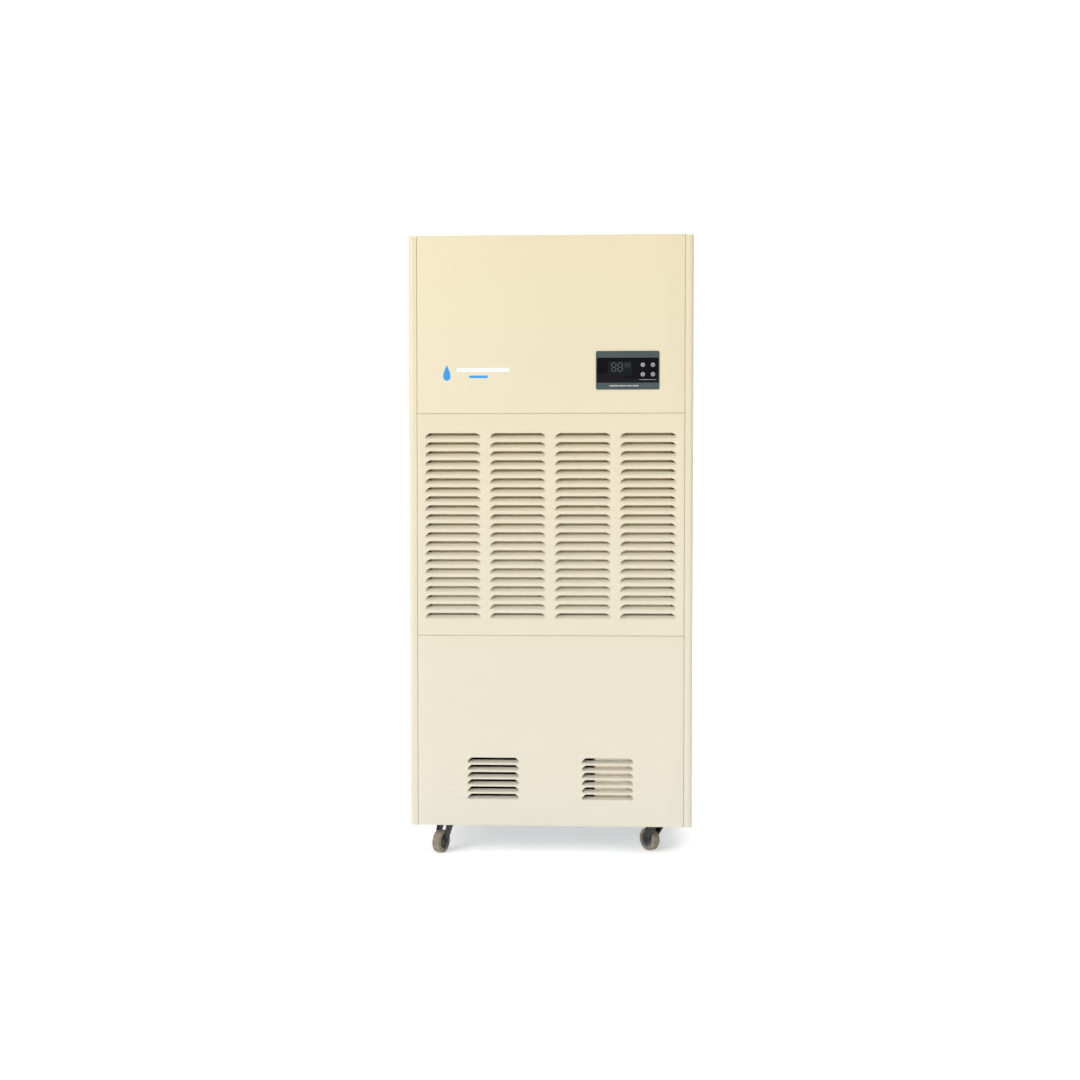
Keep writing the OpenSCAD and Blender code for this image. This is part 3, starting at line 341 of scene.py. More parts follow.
def height_share(material, low, high):
    """How far up between two heights a point is, from 0 to 1."""
    coords = node(material, "ShaderNodeTexCoord")
    axes = node(material, "ShaderNodeSeparateXYZ")
    share = node(material, "ShaderNodeMapRange")
    share.inputs["From Min"].default_value = low
    share.inputs["From Max"].default_value = high
    link(material, coords.outputs["Object"], axes.inputs["Vector"])
    link(material, axes.outputs["Z"], share.inputs["Value"])
    return share.outputs["Result"]


def blend_colours(material, factor, first, second, kind="MIX"):
    """Mixes two colours, each a colour or the output of another node."""
    mix = node(material, "ShaderNodeMix", data_type="RGBA", blend_type=kind)
    for index, value in ((0, factor), (6, first), (7, second)):
        if isinstance(value, bpy.types.NodeSocket):
            link(material, value, mix.inputs[index])
        else:
            mix.inputs[index].default_value = value if index == 0 else (*value, 1)
    return mix.outputs[2]


def powder_coat(lower, upper):
    """Cream polyester powder coat with its fine orange peel, and painted light: paler near the floor and
    faintly yellower towards the top.
    """
    material = new_material("cream_powder_coat", lower, 0.42)
    # Painted light: the coat fades with height, from the paler colour near the floor to the yellower one at
    # the top.
    painted_shading = blend_colours(material, height_share(material, 0.1, 1.65), lower, upper)
    broad = pattern(material, 1.6, detail=3)
    tone = vary_colour(material, broad, (0.985, 0.985, 0.985), (1, 1, 1), 0.3, 0.7)
    coat = blend_colours(material, 1.0, painted_shading, tone.outputs["Color"], "MULTIPLY")
    link(material, coat, shader_of(material).inputs["Base Color"])
    peel = pattern(material, 420, detail=2, roughness=0.6)
    vary_roughness(material, peel, 0.38, 0.48)
    emboss(material, peel, 0.05 * MM, 0.35)
    return material


def pressed_steel(name, colour, roughness, along=(1, 1, 1)):
    """Bare or zinc-plated sheet, with rolling marks along one way."""
    material = new_material(name, colour, roughness, 0.9)
    marks = pattern(material, 60, detail=6, roughness=0.7, stretch=along)
    vary_colour(material, marks, shade(colour, 0.86), shade(colour, 1.1))
    vary_roughness(material, marks, roughness - 0.08, roughness + 0.12)
    emboss(material, marks, 0.05 * MM, 0.3)
    return material


def old_rubber(colour):
    """Brown caster rubber, with the dirt that rolling leaves on it."""
    material = new_material("pale_tyre_rubber", colour, 0.72)
    dirt = pattern(material, 90, detail=5, roughness=0.65)
    vary_colour(material, dirt, shade(colour, 0.62), shade(colour, 1.08), 0.32, 0.62)
    vary_roughness(material, dirt, 0.62, 0.85)
    emboss(material, dirt, 0.25 * MM, 0.5)
    return material


def filter_weave(lower, upper):
    """Open nylon mesh, from two crossed sets of fine waves, with painted shade: darker towards the top and
    paler towards the bottom.
    """
    material = new_material("filter_mesh_cloth", lower, 0.75)
    coords = node(material, "ShaderNodeTexCoord")
    waves = []
    for direction in ("X", "Z"):
        wave = node(material, "ShaderNodeTexWave", wave_type="BANDS", bands_direction=direction)
        wave.inputs["Scale"].default_value = 160
        link(material, coords.outputs["Object"], wave.inputs["Vector"])
        waves.append(wave)
    top = node(material, "ShaderNodeMath", operation="MAXIMUM")
    link(material, waves[0].outputs["Fac"], top.inputs[0])
    link(material, waves[1].outputs["Fac"], top.inputs[1])
    ramp = node(material, "ShaderNodeValToRGB")
    ramp.color_ramp.elements[0].color = (0.55, 0.55, 0.55, 1)
    ramp.color_ramp.elements[1].color = (1, 1, 1, 1)
    ramp.color_ramp.elements[0].position = 0.45
    link(material, top.outputs[0], ramp.inputs["Fac"])
    bump = node(material, "ShaderNodeBump")
    bump.inputs["Distance"].default_value = 0.3 * MM
    link(material, top.outputs[0], bump.inputs["Height"])
    shader = shader_of(material)
    # Painted shade: the cloth darkens with height, so that the upper louvre gaps look deeper in shade than
    # the lower ones.
    painted_shading = blend_colours(material, height_share(material, 0.62, 0.95), lower, upper)
    cloth = blend_colours(material, 1.0, painted_shading, ramp.outputs["Color"], "MULTIPLY")
    link(material, cloth, shader.inputs["Base Color"])
    link(material, bump.outputs["Normal"], shader.inputs["Normal"])
    return material


# ---- Sheet-metal panels ----
# A panel is drawn in its own frame: x across, z up, its face at y = 0 and its folds towards +y.


class Louvre:
    """One kind of pressed louvre: its slot, how deep it is drawn and how it is repeated."""

    def __init__(self, columns, rows, pitch_x, pitch_z, length, height, depth, gap, radius, lowest):
        self.columns = columns
        self.rows = rows
        self.pitch_x = pitch_x
        self.pitch_z = pitch_z
        self.length = length
        self.height = height
        self.depth = depth
        self.gap = gap
        self.radius = radius
        self.lowest = lowest

    def half_length(self, z):
        """Half the louvre's length at a height above its lower edge: its upper corners are round."""
        rise = z - (self.height - self.radius)
        if rise <= 0:
            return self.length / 2
        return self.length / 2 - self.radius + sqrt(max(0, self.radius**2 - rise**2))


# Shares of a wall's width and of a lip's height at which a louvre has its edges.
WALL_STEPS = (0, 0.12, 0.28, 0.48, 0.72, 1)
RISE_STEPS = (0, 0.12, 0.26, 0.42, 0.6, 0.8, 1)


def louvre_cell(name, louvre):
    """One louvre in its own patch of sheet, with the slot open along the top."""
    wall = 4 * MM
    lip = louvre.height - louvre.gap
    flat = (louvre.pitch_z - louvre.height) / 2
    heights = [-flat] + [lip * s for s in RISE_STEPS] + [louvre.height, louvre.height + flat]
    across = 2 * (len(WALL_STEPS) + 1)
    select_none()
    bpy.ops.mesh.primitive_grid_add(
        x_subdivisions=across - 1, y_subdivisions=len(heights) - 1, size=1, rotation=(pi / 2, 0, 0)
    )
    cell = start(name)
    slot_row = len(RISE_STEPS) + 0.5
    doomed = set()
    for v in cell.data.vertices:
        column = round((v.co.x + 0.5) * (across - 1))
        row = round((v.co.z + 0.5) * (len(heights) - 1))
        side = -1 if column < across / 2 else 1
        step = min(column, across - 1 - column) - 1
        z = heights[row]
        if step < 0:
            x, inside = louvre.pitch_x / 2, 0
        else:
            inside = WALL_STEPS[step]
            x = louvre.half_length(min(max(z, 0), louvre.height)) - inside * wall
        depth = 0
        if 0 < z <= lip + TINY:
            depth = louvre.depth * z / lip * sin(inside * pi / 2)
        v.co = Vector((side * x, depth, z + flat))
        if step >= 0 and slot_row - 1 < row < slot_row + 1:
            doomed.add(v.index)
    object_mode()
    middle = flat + (lip + louvre.height) / 2
    reach = louvre.half_length(lip)
    pick(cell, "FACE", lambda at, n: abs(at.z - middle) < louvre.gap * 0.3 and abs(at.x) < reach)
    bpy.ops.mesh.delete(type="FACE")
    object_mode()
    return cell


def near(a, b):
    """Tells whether two lengths are the same, but for rounding."""
    return abs(a - b) < NEAR


def extend(piece, axis, old, new):
    """Draws the sheet out from its edge at old to a new edge, both along one axis."""
    pick(piece, "EDGE", lambda a, b: near(a[axis], old) and near(b[axis], old))
    bpy.ops.mesh.extrude_region_move()
    for v in picked(piece):
        v.co[axis] = new


def fold_rim(piece, half_w, low, high, radius, depth, steps=4):
    """Folds the sheet back all round, with a rounded bend and then a straight edge."""
    lo_z, hi_z = low + radius, high - radius
    edge_x = half_w - radius

    def rim_edge(a, b):
        upright = near(a.x, b.x) and near(abs(a.x), edge_x)
        level = near(a.z, b.z) and (near(a.z, lo_z) or near(a.z, hi_z))
        return upright or level

    pick(piece, "EDGE", rim_edge)
    home = None
    for i in range(1, steps + 2):
        bpy.ops.mesh.extrude_region_move()
        rim = picked(piece)
        if home is None:
            home = {v.index - rim[0].index: v.co.copy() for v in rim}
        angle = min(i, steps) / steps * pi / 2
        out, back = radius * sin(angle), radius * (1 - cos(angle))
        if i > steps:
            back = depth
        for v in rim:
            at = home[v.index - rim[0].index]
            x, z = at.x, at.z
            if near(abs(at.x), edge_x):
                x = copysign(edge_x + out, at.x)
            if near(at.z, lo_z):
                z = lo_z - out
            if near(at.z, hi_z):
                z = hi_z + out
            v.co = Vector((x, back, z))
        bpy.ops.object.mode_set(mode="EDIT")
    object_mode()


def cut_window(piece, x0, x1, z0, z1):
    """Cuts a rectangle out of flat sheet with four straight cuts."""
    upright, level = (1, 0, 0), (0, 0, 1)
    for at, way in (((x0, 0, 0), upright), ((x1, 0, 0), upright), ((0, 0, z0), level), ((0, 0, z1), level)):
        pick_all(piece)
        bpy.ops.mesh.bisect(plane_co=at, plane_no=way)
    pick(piece, "FACE", lambda at, n: x0 < at.x < x1 and z0 < at.z < z1)
    bpy.ops.mesh.delete(type="FACE")
    object_mode()


def thicken(piece, thickness):
    """Gives a folded sheet its thickness, inwards from its face."""
    pick_all(piece)
    bpy.ops.mesh.remove_doubles(threshold=TINY)
    bpy.ops.mesh.normals_make_consistent(inside=False)
    object_mode()
    face = max(piece.data.polygons, key=lambda p: p.area)
    corners = [piece.data.vertices[i].co for i in face.vertices]
    if normal(corners).y > 0:
        pick_all(piece)
        bpy.ops.mesh.flip_normals()
        object_mode()
    return modify(piece, "SOLIDIFY", thickness=thickness, offset=-1, use_even_offset=False)


def panel(name, width, height, thickness, depth, bend, louvre=None, window=None):
    """A folded panel, its lower edge on z = 0, with louvres or a window if it has them."""
    half_w = width / 2
    inner = (half_w - bend, bend, height - bend)
    if louvre:
        piece = louvre_cell(name, louvre)
        for count, step in (
            (louvre.columns, (louvre.pitch_x, 0, 0)),
            (louvre.rows, (0, 0, louvre.pitch_z)),
        ):
            modify(
                piece,
                "ARRAY",
                count=count,
                use_relative_offset=False,
                use_constant_offset=True,
                constant_offset_displace=step,
                use_merge_vertices=True,
                merge_threshold=NEAR,
            )
        flat = (louvre.pitch_z - louvre.height) / 2
        block = louvre.columns * louvre.pitch_x / 2
        low = louvre.lowest - flat
        shift = Vector((-(louvre.columns - 1) / 2 * louvre.pitch_x, 0, low))
        place(piece, Matrix.Translation(shift))
        extend(piece, 0, -block, -inner[0])
        extend(piece, 0, block, inner[0])
        extend(piece, 2, low, inner[1])
        extend(piece, 2, low + louvre.rows * louvre.pitch_z, inner[2])
    else:
        select_none()
        bpy.ops.mesh.primitive_plane_add(size=1, location=(0, 0, height / 2), rotation=(pi / 2, 0, 0))
        piece = start(name, (2 * inner[0], inner[2] - inner[1], 1))
        pick_all(piece)
        bpy.ops.mesh.subdivide(number_cuts=1)
        object_mode()
    if window:
        cut_window(piece, *window)
    fold_rim(piece, half_w, 0, height, bend, depth)
    thicken(piece, thickness)
    return smooth(piece, 40)


def panel_like(name, cad_node, side, **features):
    """A folded panel with the size and place of a CAD node, facing front, back, left or right."""
    cabinet = bpy.context.scene.dehumidifier
    lo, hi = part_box(cad_node)
    turn = {"front": 0, "right": pi / 2, "back": pi, "left": -pi / 2}[side]
    across, deep = hi.x - lo.x, hi.y - lo.y
    if side in ("left", "right"):
        across, deep = deep, across
    piece = panel(name, across, hi.z - lo.z, cabinet.sheet, deep, cabinet.bend, **features)
    middle = (lo + hi) / 2
    face = {
        "front": (middle.x, lo.y),
        "back": (middle.x, hi.y),
        "left": (lo.x, middle.y),
        "right": (hi.x, middle.y),
    }[side]
    spot = Matrix.Translation(Vector((*face, lo.z))) @ Matrix.Rotation(turn, 4, "Z")
    return place(piece, spot)


# ---- Hardware ----


def line_bore(piece, radius):
    """Joins the two open rings of one radius about the Y axis."""

    def on_ring(a, b):
        return near(a.y, b.y) and all(abs(hypot(p.x, p.z) - radius) < RING_SLACK for p in (a, b))

    pick(piece, "EDGE", on_ring)
    bpy.ops.mesh.bridge_edge_loops()
    object_mode()


def tyre(name, radius, width, wall, crown):
    """A tyre about the Y axis, its edges rounded."""
    piece = add_disc(name, radius, -width / 2, width / 2, 64, "Y")
    round_edges(piece, crown, 5)
    hole = radius - crown
    pick(piece, "FACE", lambda at, n: abs(n.y) > 0.99)
    bpy.ops.mesh.inset(thickness=wall - crown)
    bpy.ops.mesh.delete(type="FACE")
    object_mode()
    edge = hole - (wall - crown)
    line_bore(piece, edge)
    return smooth(piece, 50)


def wheel_hub(name, radius, width, boss, bore):
    """A hub about the Y axis: a rim, a web with ribs and a boss with a bore."""
    rim, web = 3.5 * MM, 8 * MM
    web_draft, boss_draft = 0.95, 0.92
    rib_height, rib_half, rib_count = 4 * MM, 0.8 * MM, 6
    face = width / 2 - MM
    piece = add_disc(name, radius, -face, face, 64, "Y")

    def pick_ends():
        pick(piece, "FACE", lambda at, n: abs(n.y) > 0.99 and hypot(at.x, at.z) < 1e-4)

    def step(half, draft):
        """Draws both ends to half the width on each side, and a little narrower."""
        pick_ends()
        bpy.ops.mesh.extrude_region_move()
        for v in picked(piece):
            v.co.y = copysign(half, v.co.y)
            v.co.x *= draft
            v.co.z *= draft
        pick_ends()

    pick_ends()
    bpy.ops.mesh.inset(thickness=rim)
    step(web / 2, web_draft)
    bpy.ops.mesh.inset(thickness=(radius - rim) * web_draft - boss)
    step(width / 2, boss_draft)
    bpy.ops.mesh.inset(thickness=boss * boss_draft - bore)
    bpy.ops.mesh.delete(type="FACE")
    object_mode()
    line_bore(piece, bore)
    round_edges(piece, 0.5 * MM, 2)
    ribs = []
    for side in (-1, 1):
        for i in range(rib_count):
            low, high = sorted((side * web / 2, side * (web / 2 + rib_height)))
            rib = add_box("rib", (boss * 0.8, low, -rib_half), (radius - rim, high, rib_half))
            round_edges(rib, rib_half / 2, 2)
            ribs.append(place(rib, Matrix.Rotation(i * 2 * pi / rib_count, 4, "Y")))
    return smooth(join(name, [piece, *ribs]), 40)


def slab(name, outline, first, last):
    """A flat piece with an outline, given as points in x and z, between two planes of y."""
    select_none()
    bpy.ops.mesh.primitive_circle_add(
        vertices=len(outline), radius=1, fill_type="NGON", rotation=(pi / 2, 0, 0)
    )
    piece = start(name)
    for v, (x, z) in zip(piece.data.vertices, outline):
        v.co = Vector((x, first, z))
    pick_all(piece)
    bpy.ops.mesh.extrude_region_move()
    for v in picked(piece):
        v.co.y = last
    face_outwards(piece)
    return piece


def arc_points(x, z, radius, first, last, count):
    """Points on an arc, its first and last angle in degrees."""
    angles = [radians(first + i * ((last - first) / (count - 1))) for i in range(count)]
    return [(x + radius * cos(angle), z + radius * sin(angle)) for angle in angles]


def swivel_fork(name, trail, axle_z, race, race_z, race_top, inner, thickness, axle):
    """A pressed fork with its race and its axle bolt, trailing towards +X."""
    eye, overhang, head, leg_round = 9 * MM, 3 * MM, axle / 2 + 2.5 * MM, 0.7 * MM
    neck = race_z + 3 * MM
    outline = (
        [(-race * 0.8, neck), (-race * 0.86, neck - 4 * MM), (-race * 0.7, neck - 9 * MM)]
        + arc_points(trail, axle_z, eye, 205, 375, 12)
        + [(race * 0.98, neck - 6 * MM), (race * 0.9, neck)]
    )
    outer = inner + thickness
    parts = [
        round_edges(slab("leg", outline, inner, outer), leg_round, 2, 50),
        round_edges(slab("leg", outline, -outer, -inner), leg_round, 2, 50),
        add_disc("race", race, race_z, race_top, 64),
        add_disc("axle", axle / 2, -outer - overhang, outer + overhang, 32, "Y"),
        add_disc("bolt", head, outer, outer + overhang, 6, "Y"),
        add_disc("nut", head, -outer - overhang, -outer, 6, "Y"),
    ]
    pick(parts[2], "FACE", lambda at, n: n.z < -0.99)
    bpy.ops.mesh.inset(thickness=3 * MM)
    bpy.ops.mesh.extrude_region_move()
    for v in picked(parts[2]):
        v.co.z = race_z + 1.5 * MM
    for part in parts[3:]:
        place(part, Matrix.Translation((trail, 0, axle_z)))
    for part in parts[2:]:
        round_edges(part, 0.6 * MM, 2)
    return smooth(join(name, parts), 40)


def pan_screw(name, radius, height, socket):
    """A low pan head with a cross recess, standing on z = 0."""
    foot, slot_half = 0.5 * MM, 0.5 * MM
    piece = add_disc(name, radius, -foot, height, 32)
    modify(piece, "BEVEL", width=height * 0.7, segments=4, limit_method="ANGLE", angle_limit=radians(60))
    for turn in (0, pi / 2):
        slot = add_box("slot", (-socket, -slot_half, height * 0.35), (socket, slot_half, height * 2))
        place(slot, Matrix.Rotation(turn, 4, "Z"))
        modify(piece, "BOOLEAN", object=slot, operation="DIFFERENCE", solver="EXACT")
        bpy.data.objects.remove(slot)
    return smooth(piece, 35)


def cut_holes(piece, spots, radius, low, high):
    """Drills round holes along y at each spot, given in x and z."""
    for x, z in spots:
        drill = place(add_disc("drill", radius, low, high, 40, "Y"), Matrix.Translation((x, 0, z)))
        modify(piece, "BOOLEAN", object=drill, operation="DIFFERENCE", solver="EXACT")
        bpy.data.objects.remove(drill)
    return piece


def flat_bar(name, x, z, width, height, back, front, corner=0.0):
    """A thin printed bar, its middle at x and z."""
    bar = add_box(name, (x - width / 2, front, z - height / 2), (x + width / 2, back, z + height / 2))
    if corner:
        pick(bar, "EDGE", lambda a, b: abs(a.y - b.y) > TINY)
        bpy.ops.mesh.bevel(offset=corner, segments=4)
        object_mode()
    return bar


# ---- Settings ----


def length(name, description, default):
    """A setting that is a length in metres."""
    return FloatProperty(name=name, description=description, default=default, unit="LENGTH")


class DehumidifierSettings(bpy.types.PropertyGroup):
    """Sizes and colours of the cabinet"""

    sheet: length("Sheet", "Thickness of the panel sheet", 1.2 * MM)
    bend: length("Bend", "Outer radius of a panel's folded edges", 2.2 * MM)
    screw_head: length("Screw head", "Diameter of a panel screw's head", 11 * MM)
    screw_height: length("Screw height", "Height of a panel screw's head", 1.4 * MM)
    screw_end: length("Screw end", "Distance from a panel's end to its first screw", 60 * MM)
    screw_inset: length("Screw inset", "Distance from a panel's side to its screws", 5.8 * MM)
    seal_gap: length("Seal gap", "Room between a seal and each panel", 0.15 * MM)
    seal_sunk: length("Seal depth below", "How far a seal lies below the face", 1.2 * MM)
    seal_depth: length("Seal depth", "Depth of a seal", 8 * MM)
    # The two coat colours carry painted light: the paler one near the floor and the yellower one at the top.
    coat: FloatVectorProperty(
        name="Coat", description="Colour of the powder coat near the floor", default=(0.56, 0.53, 0.44),
        subtype="COLOR",
    )
    coat_top: FloatVectorProperty(
        name="Coat at the top", description="Colour of the powder coat at the top",
        default=(0.60, 0.53, 0.36),
        subtype="COLOR",
    )


class LouvreSettings(bpy.types.PropertyGroup):
    """The louvred intake panel"""

    columns: IntProperty(name="Columns", description="Columns of louvres", default=4, min=1)
    rows: IntProperty(name="Rows", description="Rows of louvres", default=21, min=1)
    pitch_x: length("Column pitch", "Distance between two columns", 172.6 * MM)
    pitch_z: length("Row pitch", "Distance between two rows", 23.9 * MM)
    length: length("Length", "Length of a louvre", 148 * MM)
    height: length("Height", "Height of a louvre", 16 * MM)
    depth: length("Depth", "How far its lip is drawn inwards", 10 * MM)
    gap: length("Gap", "Opening above the lip", 5.6 * MM)
    radius: length("Corner radius", "Radius of a louvre's upper corners", 13 * MM)
    head: length("Head", "Plain sheet above the first row", 51 * MM)


class VentSettings(bpy.types.PropertyGroup):
    """The two lower vents"""

    rows: IntProperty(name="Rows", description="Rows in each vent", default=6, min=1)
    pitch_x: length("Vent pitch", "Distance between the two vents", 305 * MM)
    pitch_z: length("Row pitch", "Distance between two rows", 19.45 * MM)
    length: length("Length", "Length of a vent slot", 137 * MM)
    height: length("Height", "Height of a vent slot", 15 * MM)
    depth: length("Depth", "How far its lip is drawn inwards", 12.6 * MM)
    gap: length("Gap", "Opening above the lip", 8 * MM)
    radius: length("Corner radius", "Radius of a slot's upper corners", 10 * MM)
    base: length("Base", "Plain sheet below the lowest slot", 71 * MM)


class DisplaySettings(bpy.types.PropertyGroup):
    """The display and the decal beside it"""

    key_gap: length("Key gap", "Gap around each button", 0.3 * MM)
    decal_x: length("Decal X", "Middle of the drop across the front", -275 * MM)
    decal_z: length("Decal Z", "Height of the drop's middle", 1.288)


class CasterSettings(bpy.types.PropertyGroup):
    """The four swivel casters"""

    tyre_width: length("Tyre width", "Width of a tyre", 22 * MM)
    tyre_wall: length("Tyre wall", "Thickness of a tyre's rubber", 8 * MM)
    hub_width: length("Hub width", "Width of a wheel's hub", 24 * MM)
    axle: length("Axle", "Diameter of a wheel's axle", 8 * MM)
    race: length("Race", "Radius of the swivel's race", 23 * MM)
    race_height: length("Race height", "Height of the swivel's race", 7.5 * MM)
    fork_sheet: length("Fork sheet", "Thickness of a fork's side", 2.5 * MM)


class Finishes:
    """The materials, made once when the first piece needs them."""

    made = {}

    @classmethod
    def get(cls, name):
        if name not in cls.made:
            cls.made[name] = cls.make(name)
        return cls.made[name]

    @staticmethod
    def make(name):
        s = bpy.context.scene.dehumidifier
        recipes = {
            "powder_coat": lambda: powder_coat(tuple(s.coat), tuple(s.coat_top)),
            "galvanised_steel": lambda: pressed_steel("zinc_plated_steel", (0.56, 0.58, 0.59), 0.38),
            "black_steel": lambda: patterned("black_painted_steel", (0.018, 0.018, 0.02), 0.38, grain=600),
            "blue_grey_steel": lambda: patterned("blue_grey_motor_paint", (0.07, 0.10, 0.15), 0.4),
            "grey_plastic": lambda: patterned(
                "blue_grey_plastic", (0.045, 0.062, 0.066), 0.45, spread=0.1, Specular_IOR_Level=0.3
            ),
            # Painted shade: the filter goes from pale near the bottom to dark brown at the top.
            "filter_cloth": lambda: filter_weave((0.95, 0.86, 0.68), (0.62, 0.47, 0.27)),
            "aluminium_fins": lambda: pressed_steel(
                "aluminium_fin_stock", (0.75, 0.77, 0.79), 0.3, (1, 1, 8)
            ),
            "copper_tube": lambda: pressed_steel("bare_copper", (0.72, 0.32, 0.16), 0.32, (1, 1, 4)),
            "black_rubber": lambda: patterned(
                "black_rubber", (0.018, 0.018, 0.018), 0.7, grain=500, depth=0.1
            ),
            "tan_steel": lambda: patterned("tan_painted_steel", (0.88, 0.76, 0.58), 0.55, spread=0.08),
            "green_board": lambda: patterned("green_board", (0.04, 0.15, 0.08), 0.5, spread=0.3),
            "black_gloss": lambda: patterned(
                "black_display_gloss", (0.003, 0.003, 0.004), 0.12,
                spread=0.2, depth=0.01, Specular_IOR_Level=0.1,
            ),
            "dark_screen": lambda: patterned(
                "dark_display_screen", (0.006, 0.009, 0.009), 0.2, depth=0.01, Specular_IOR_Level=0.1
            ),
            "screen_segment": lambda: patterned(
                "unlit_display_segment", (0.05, 0.055, 0.058), 0.3, depth=0.01
            ),
            "pale_print": lambda: patterned("pale_print", (0.34, 0.38, 0.38), 0.5, depth=0.02),
            "button_plastic": lambda: patterned("pale_button_plastic", (0.22, 0.235, 0.25), 0.4, grain=1500),
            "black_plastic": lambda: patterned(
                "black_moulded_plastic", (0.02, 0.02, 0.022), 0.48, grain=1200
            ),
            "white_plastic": lambda: patterned("white_moulded_plastic", (0.75, 0.75, 0.72), 0.45),
            "fork_steel": lambda: pressed_steel("dull_fork_steel", (0.06, 0.06, 0.055), 0.42),
            "hub_plastic": lambda: patterned("grey_hub_plastic", (0.13, 0.13, 0.125), 0.5, spread=0.12),
            "pale_tyre": lambda: old_rubber((0.23, 0.19, 0.14)),
            "decal_blue": lambda: patterned("blue_decal_film", (0.02, 0.25, 0.60), 0.35, depth=0.01),
            "decal_white": lambda: patterned("white_decal_film", (0.95, 0.94, 0.88), 0.4, depth=0.01),
            "floor": lambda: patterned(
                "pale_floor_paint",
                (0.93, 0.93, 0.93),
                0.7,
                spread=0.01,
                depth=0.02,
                Emission_Color=(1, 1, 1, 1),
                Emission_Strength=0.3,
            ),
        }
        return recipes[name]()


def paint_cad_nodes():
    """Gives every CAD node that is still shown the finish of its slot."""
    slots = {row["node"]: row["material_slot"] for row in frame["record"]["subparts"]}
    for name, part in frame["nodes"].items():
        if part.hide_render:
            continue
        material = Finishes.get(slots[name])
        if not part.data.materials:
            part.data.materials.append(material)
        for spot in part.material_slots:
            spot.material = material


# ---- Operators ----


class Build:
    """What every building operator shares"""

    bl_options = {"REGISTER", "UNDO"}

    def execute(self, context):
        self.build(context)
        object_mode()
        return {"FINISHED"}


class DEHUMIDIFIER_OT_intake_panel(Build, bpy.types.Operator):
    """Builds the front panel with the intake louvres"""

    bl_idname = "dehumidifier.intake_panel"
    bl_label = "Intake Panel"

    def build(self, context):
        s = context.scene.dehumidifier_louvres
        lo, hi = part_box("front_intake_panel")
        lowest = (hi.z - lo.z) - s.head - s.height - (s.rows - 1) * s.pitch_z
        louvre = Louvre(
            s.columns, s.rows, s.pitch_x, s.pitch_z, s.length, s.height, s.depth, s.gap, s.radius, lowest
        )
        piece = panel_like("intake_panel_sheet", "front_intake_panel", "front", louvre=louvre)
        finish(piece, "powder_coat", "intake_door", "front_intake_panel")


class DEHUMIDIFIER_OT_lower_panel(Build, bpy.types.Operator):
    """Builds the lower front panel with its two vents"""

    bl_idname = "dehumidifier.lower_panel"
    bl_label = "Lower Panel"

    def build(self, context):
        s = context.scene.dehumidifier_vents
        louvre = Louvre(2, s.rows, s.pitch_x, s.pitch_z, s.length, s.height, s.depth, s.gap, s.radius, s.base)
        piece = panel_like("lower_panel_sheet", "front_lower_panel", "front", louvre=louvre)
        finish(piece, "powder_coat", "cabinet", "front_lower_panel")


class DEHUMIDIFIER_OT_plain_panels(Build, bpy.types.Operator):
    """Builds the upper front panel and the panels at the sides and the back"""

    bl_idname = "dehumidifier.plain_panels"
    bl_label = "Plain Panels"

    def build(self, context):
        panel_lo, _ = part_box("front_top_panel")
        lo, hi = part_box("display_bezel")
        lip = 5 * MM
        window = (lo.x + lip, hi.x - lip, lo.z + lip - panel_lo.z, hi.z - lip - panel_lo.z)
        top = panel_like("upper_panel_sheet", "front_top_panel", "front", window=window)
        finish(top, "powder_coat", "cabinet", "front_top_panel")
        for name, cad_node, side in (
            ("left_panel_sheet", "left_side_panel", "left"),
            ("right_panel_sheet", "right_side_panel", "right"),
            ("rear_upper_sheet", "rear_upper_panel", "back"),
            ("rear_lower_sheet", "rear_lower_panel", "back"),
        ):
            piece = panel_like(name, cad_node, side)
            finish(piece, "powder_coat", "cabinet", cad_node)


def seam_width():
    """The gap between two neighbouring panels of the CAD model."""
    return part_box("front_intake_panel")[0].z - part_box("front_lower_panel")[1].z


class DEHUMIDIFIER_OT_seals(Build, bpy.types.Operator):
    """Lays the cream seals in the narrow gaps between the panels"""

    bl_idname = "dehumidifier.seals"
    bl_label = "Panel Seals"

    def build(self, context):
        s = context.scene.dehumidifier
        room = s.seal_gap
        seam = seam_width()
        strips = []
        for inward, panels in (
            (1, ("front_lower_panel", "front_intake_panel", "front_top_panel")),
            (-1, ("rear_lower_panel", "rear_upper_panel")),
        ):
            for i, cad_node in enumerate(panels):
                lo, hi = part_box(cad_node)
                y0, y1 = self.behind((lo if inward > 0 else hi).y, inward, s)
                for left, right in ((lo.x - seam, lo.x), (hi.x, hi.x + seam)):
                    strips.append(add_box("seal", (left + room, y0, lo.z), (right - room, y1, hi.z)))
                if i:
                    strips.append(add_box("seal", (lo.x, y0, lo.z - seam + room), (hi.x, y1, lo.z - room)))
        for inward, cad_node in ((1, "left_side_panel"), (-1, "right_side_panel")):
            lo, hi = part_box(cad_node)
            x0, x1 = self.behind((lo if inward > 0 else hi).x, inward, s)
            for near, far in ((lo.y - seam, lo.y), (hi.y, hi.y + seam)):
                strips.append(add_box("seal", (x0, near + room, lo.z), (x1, far - room, hi.z)))
        finish(join("panel_seals", strips), "powder_coat", "cabinet")

    @staticmethod
    def behind(face, inward, s):
        """The two planes between which a seal lies behind a panel's face."""
        return sorted((face + inward * s.seal_sunk, face + inward * (s.seal_sunk + s.seal_depth)))


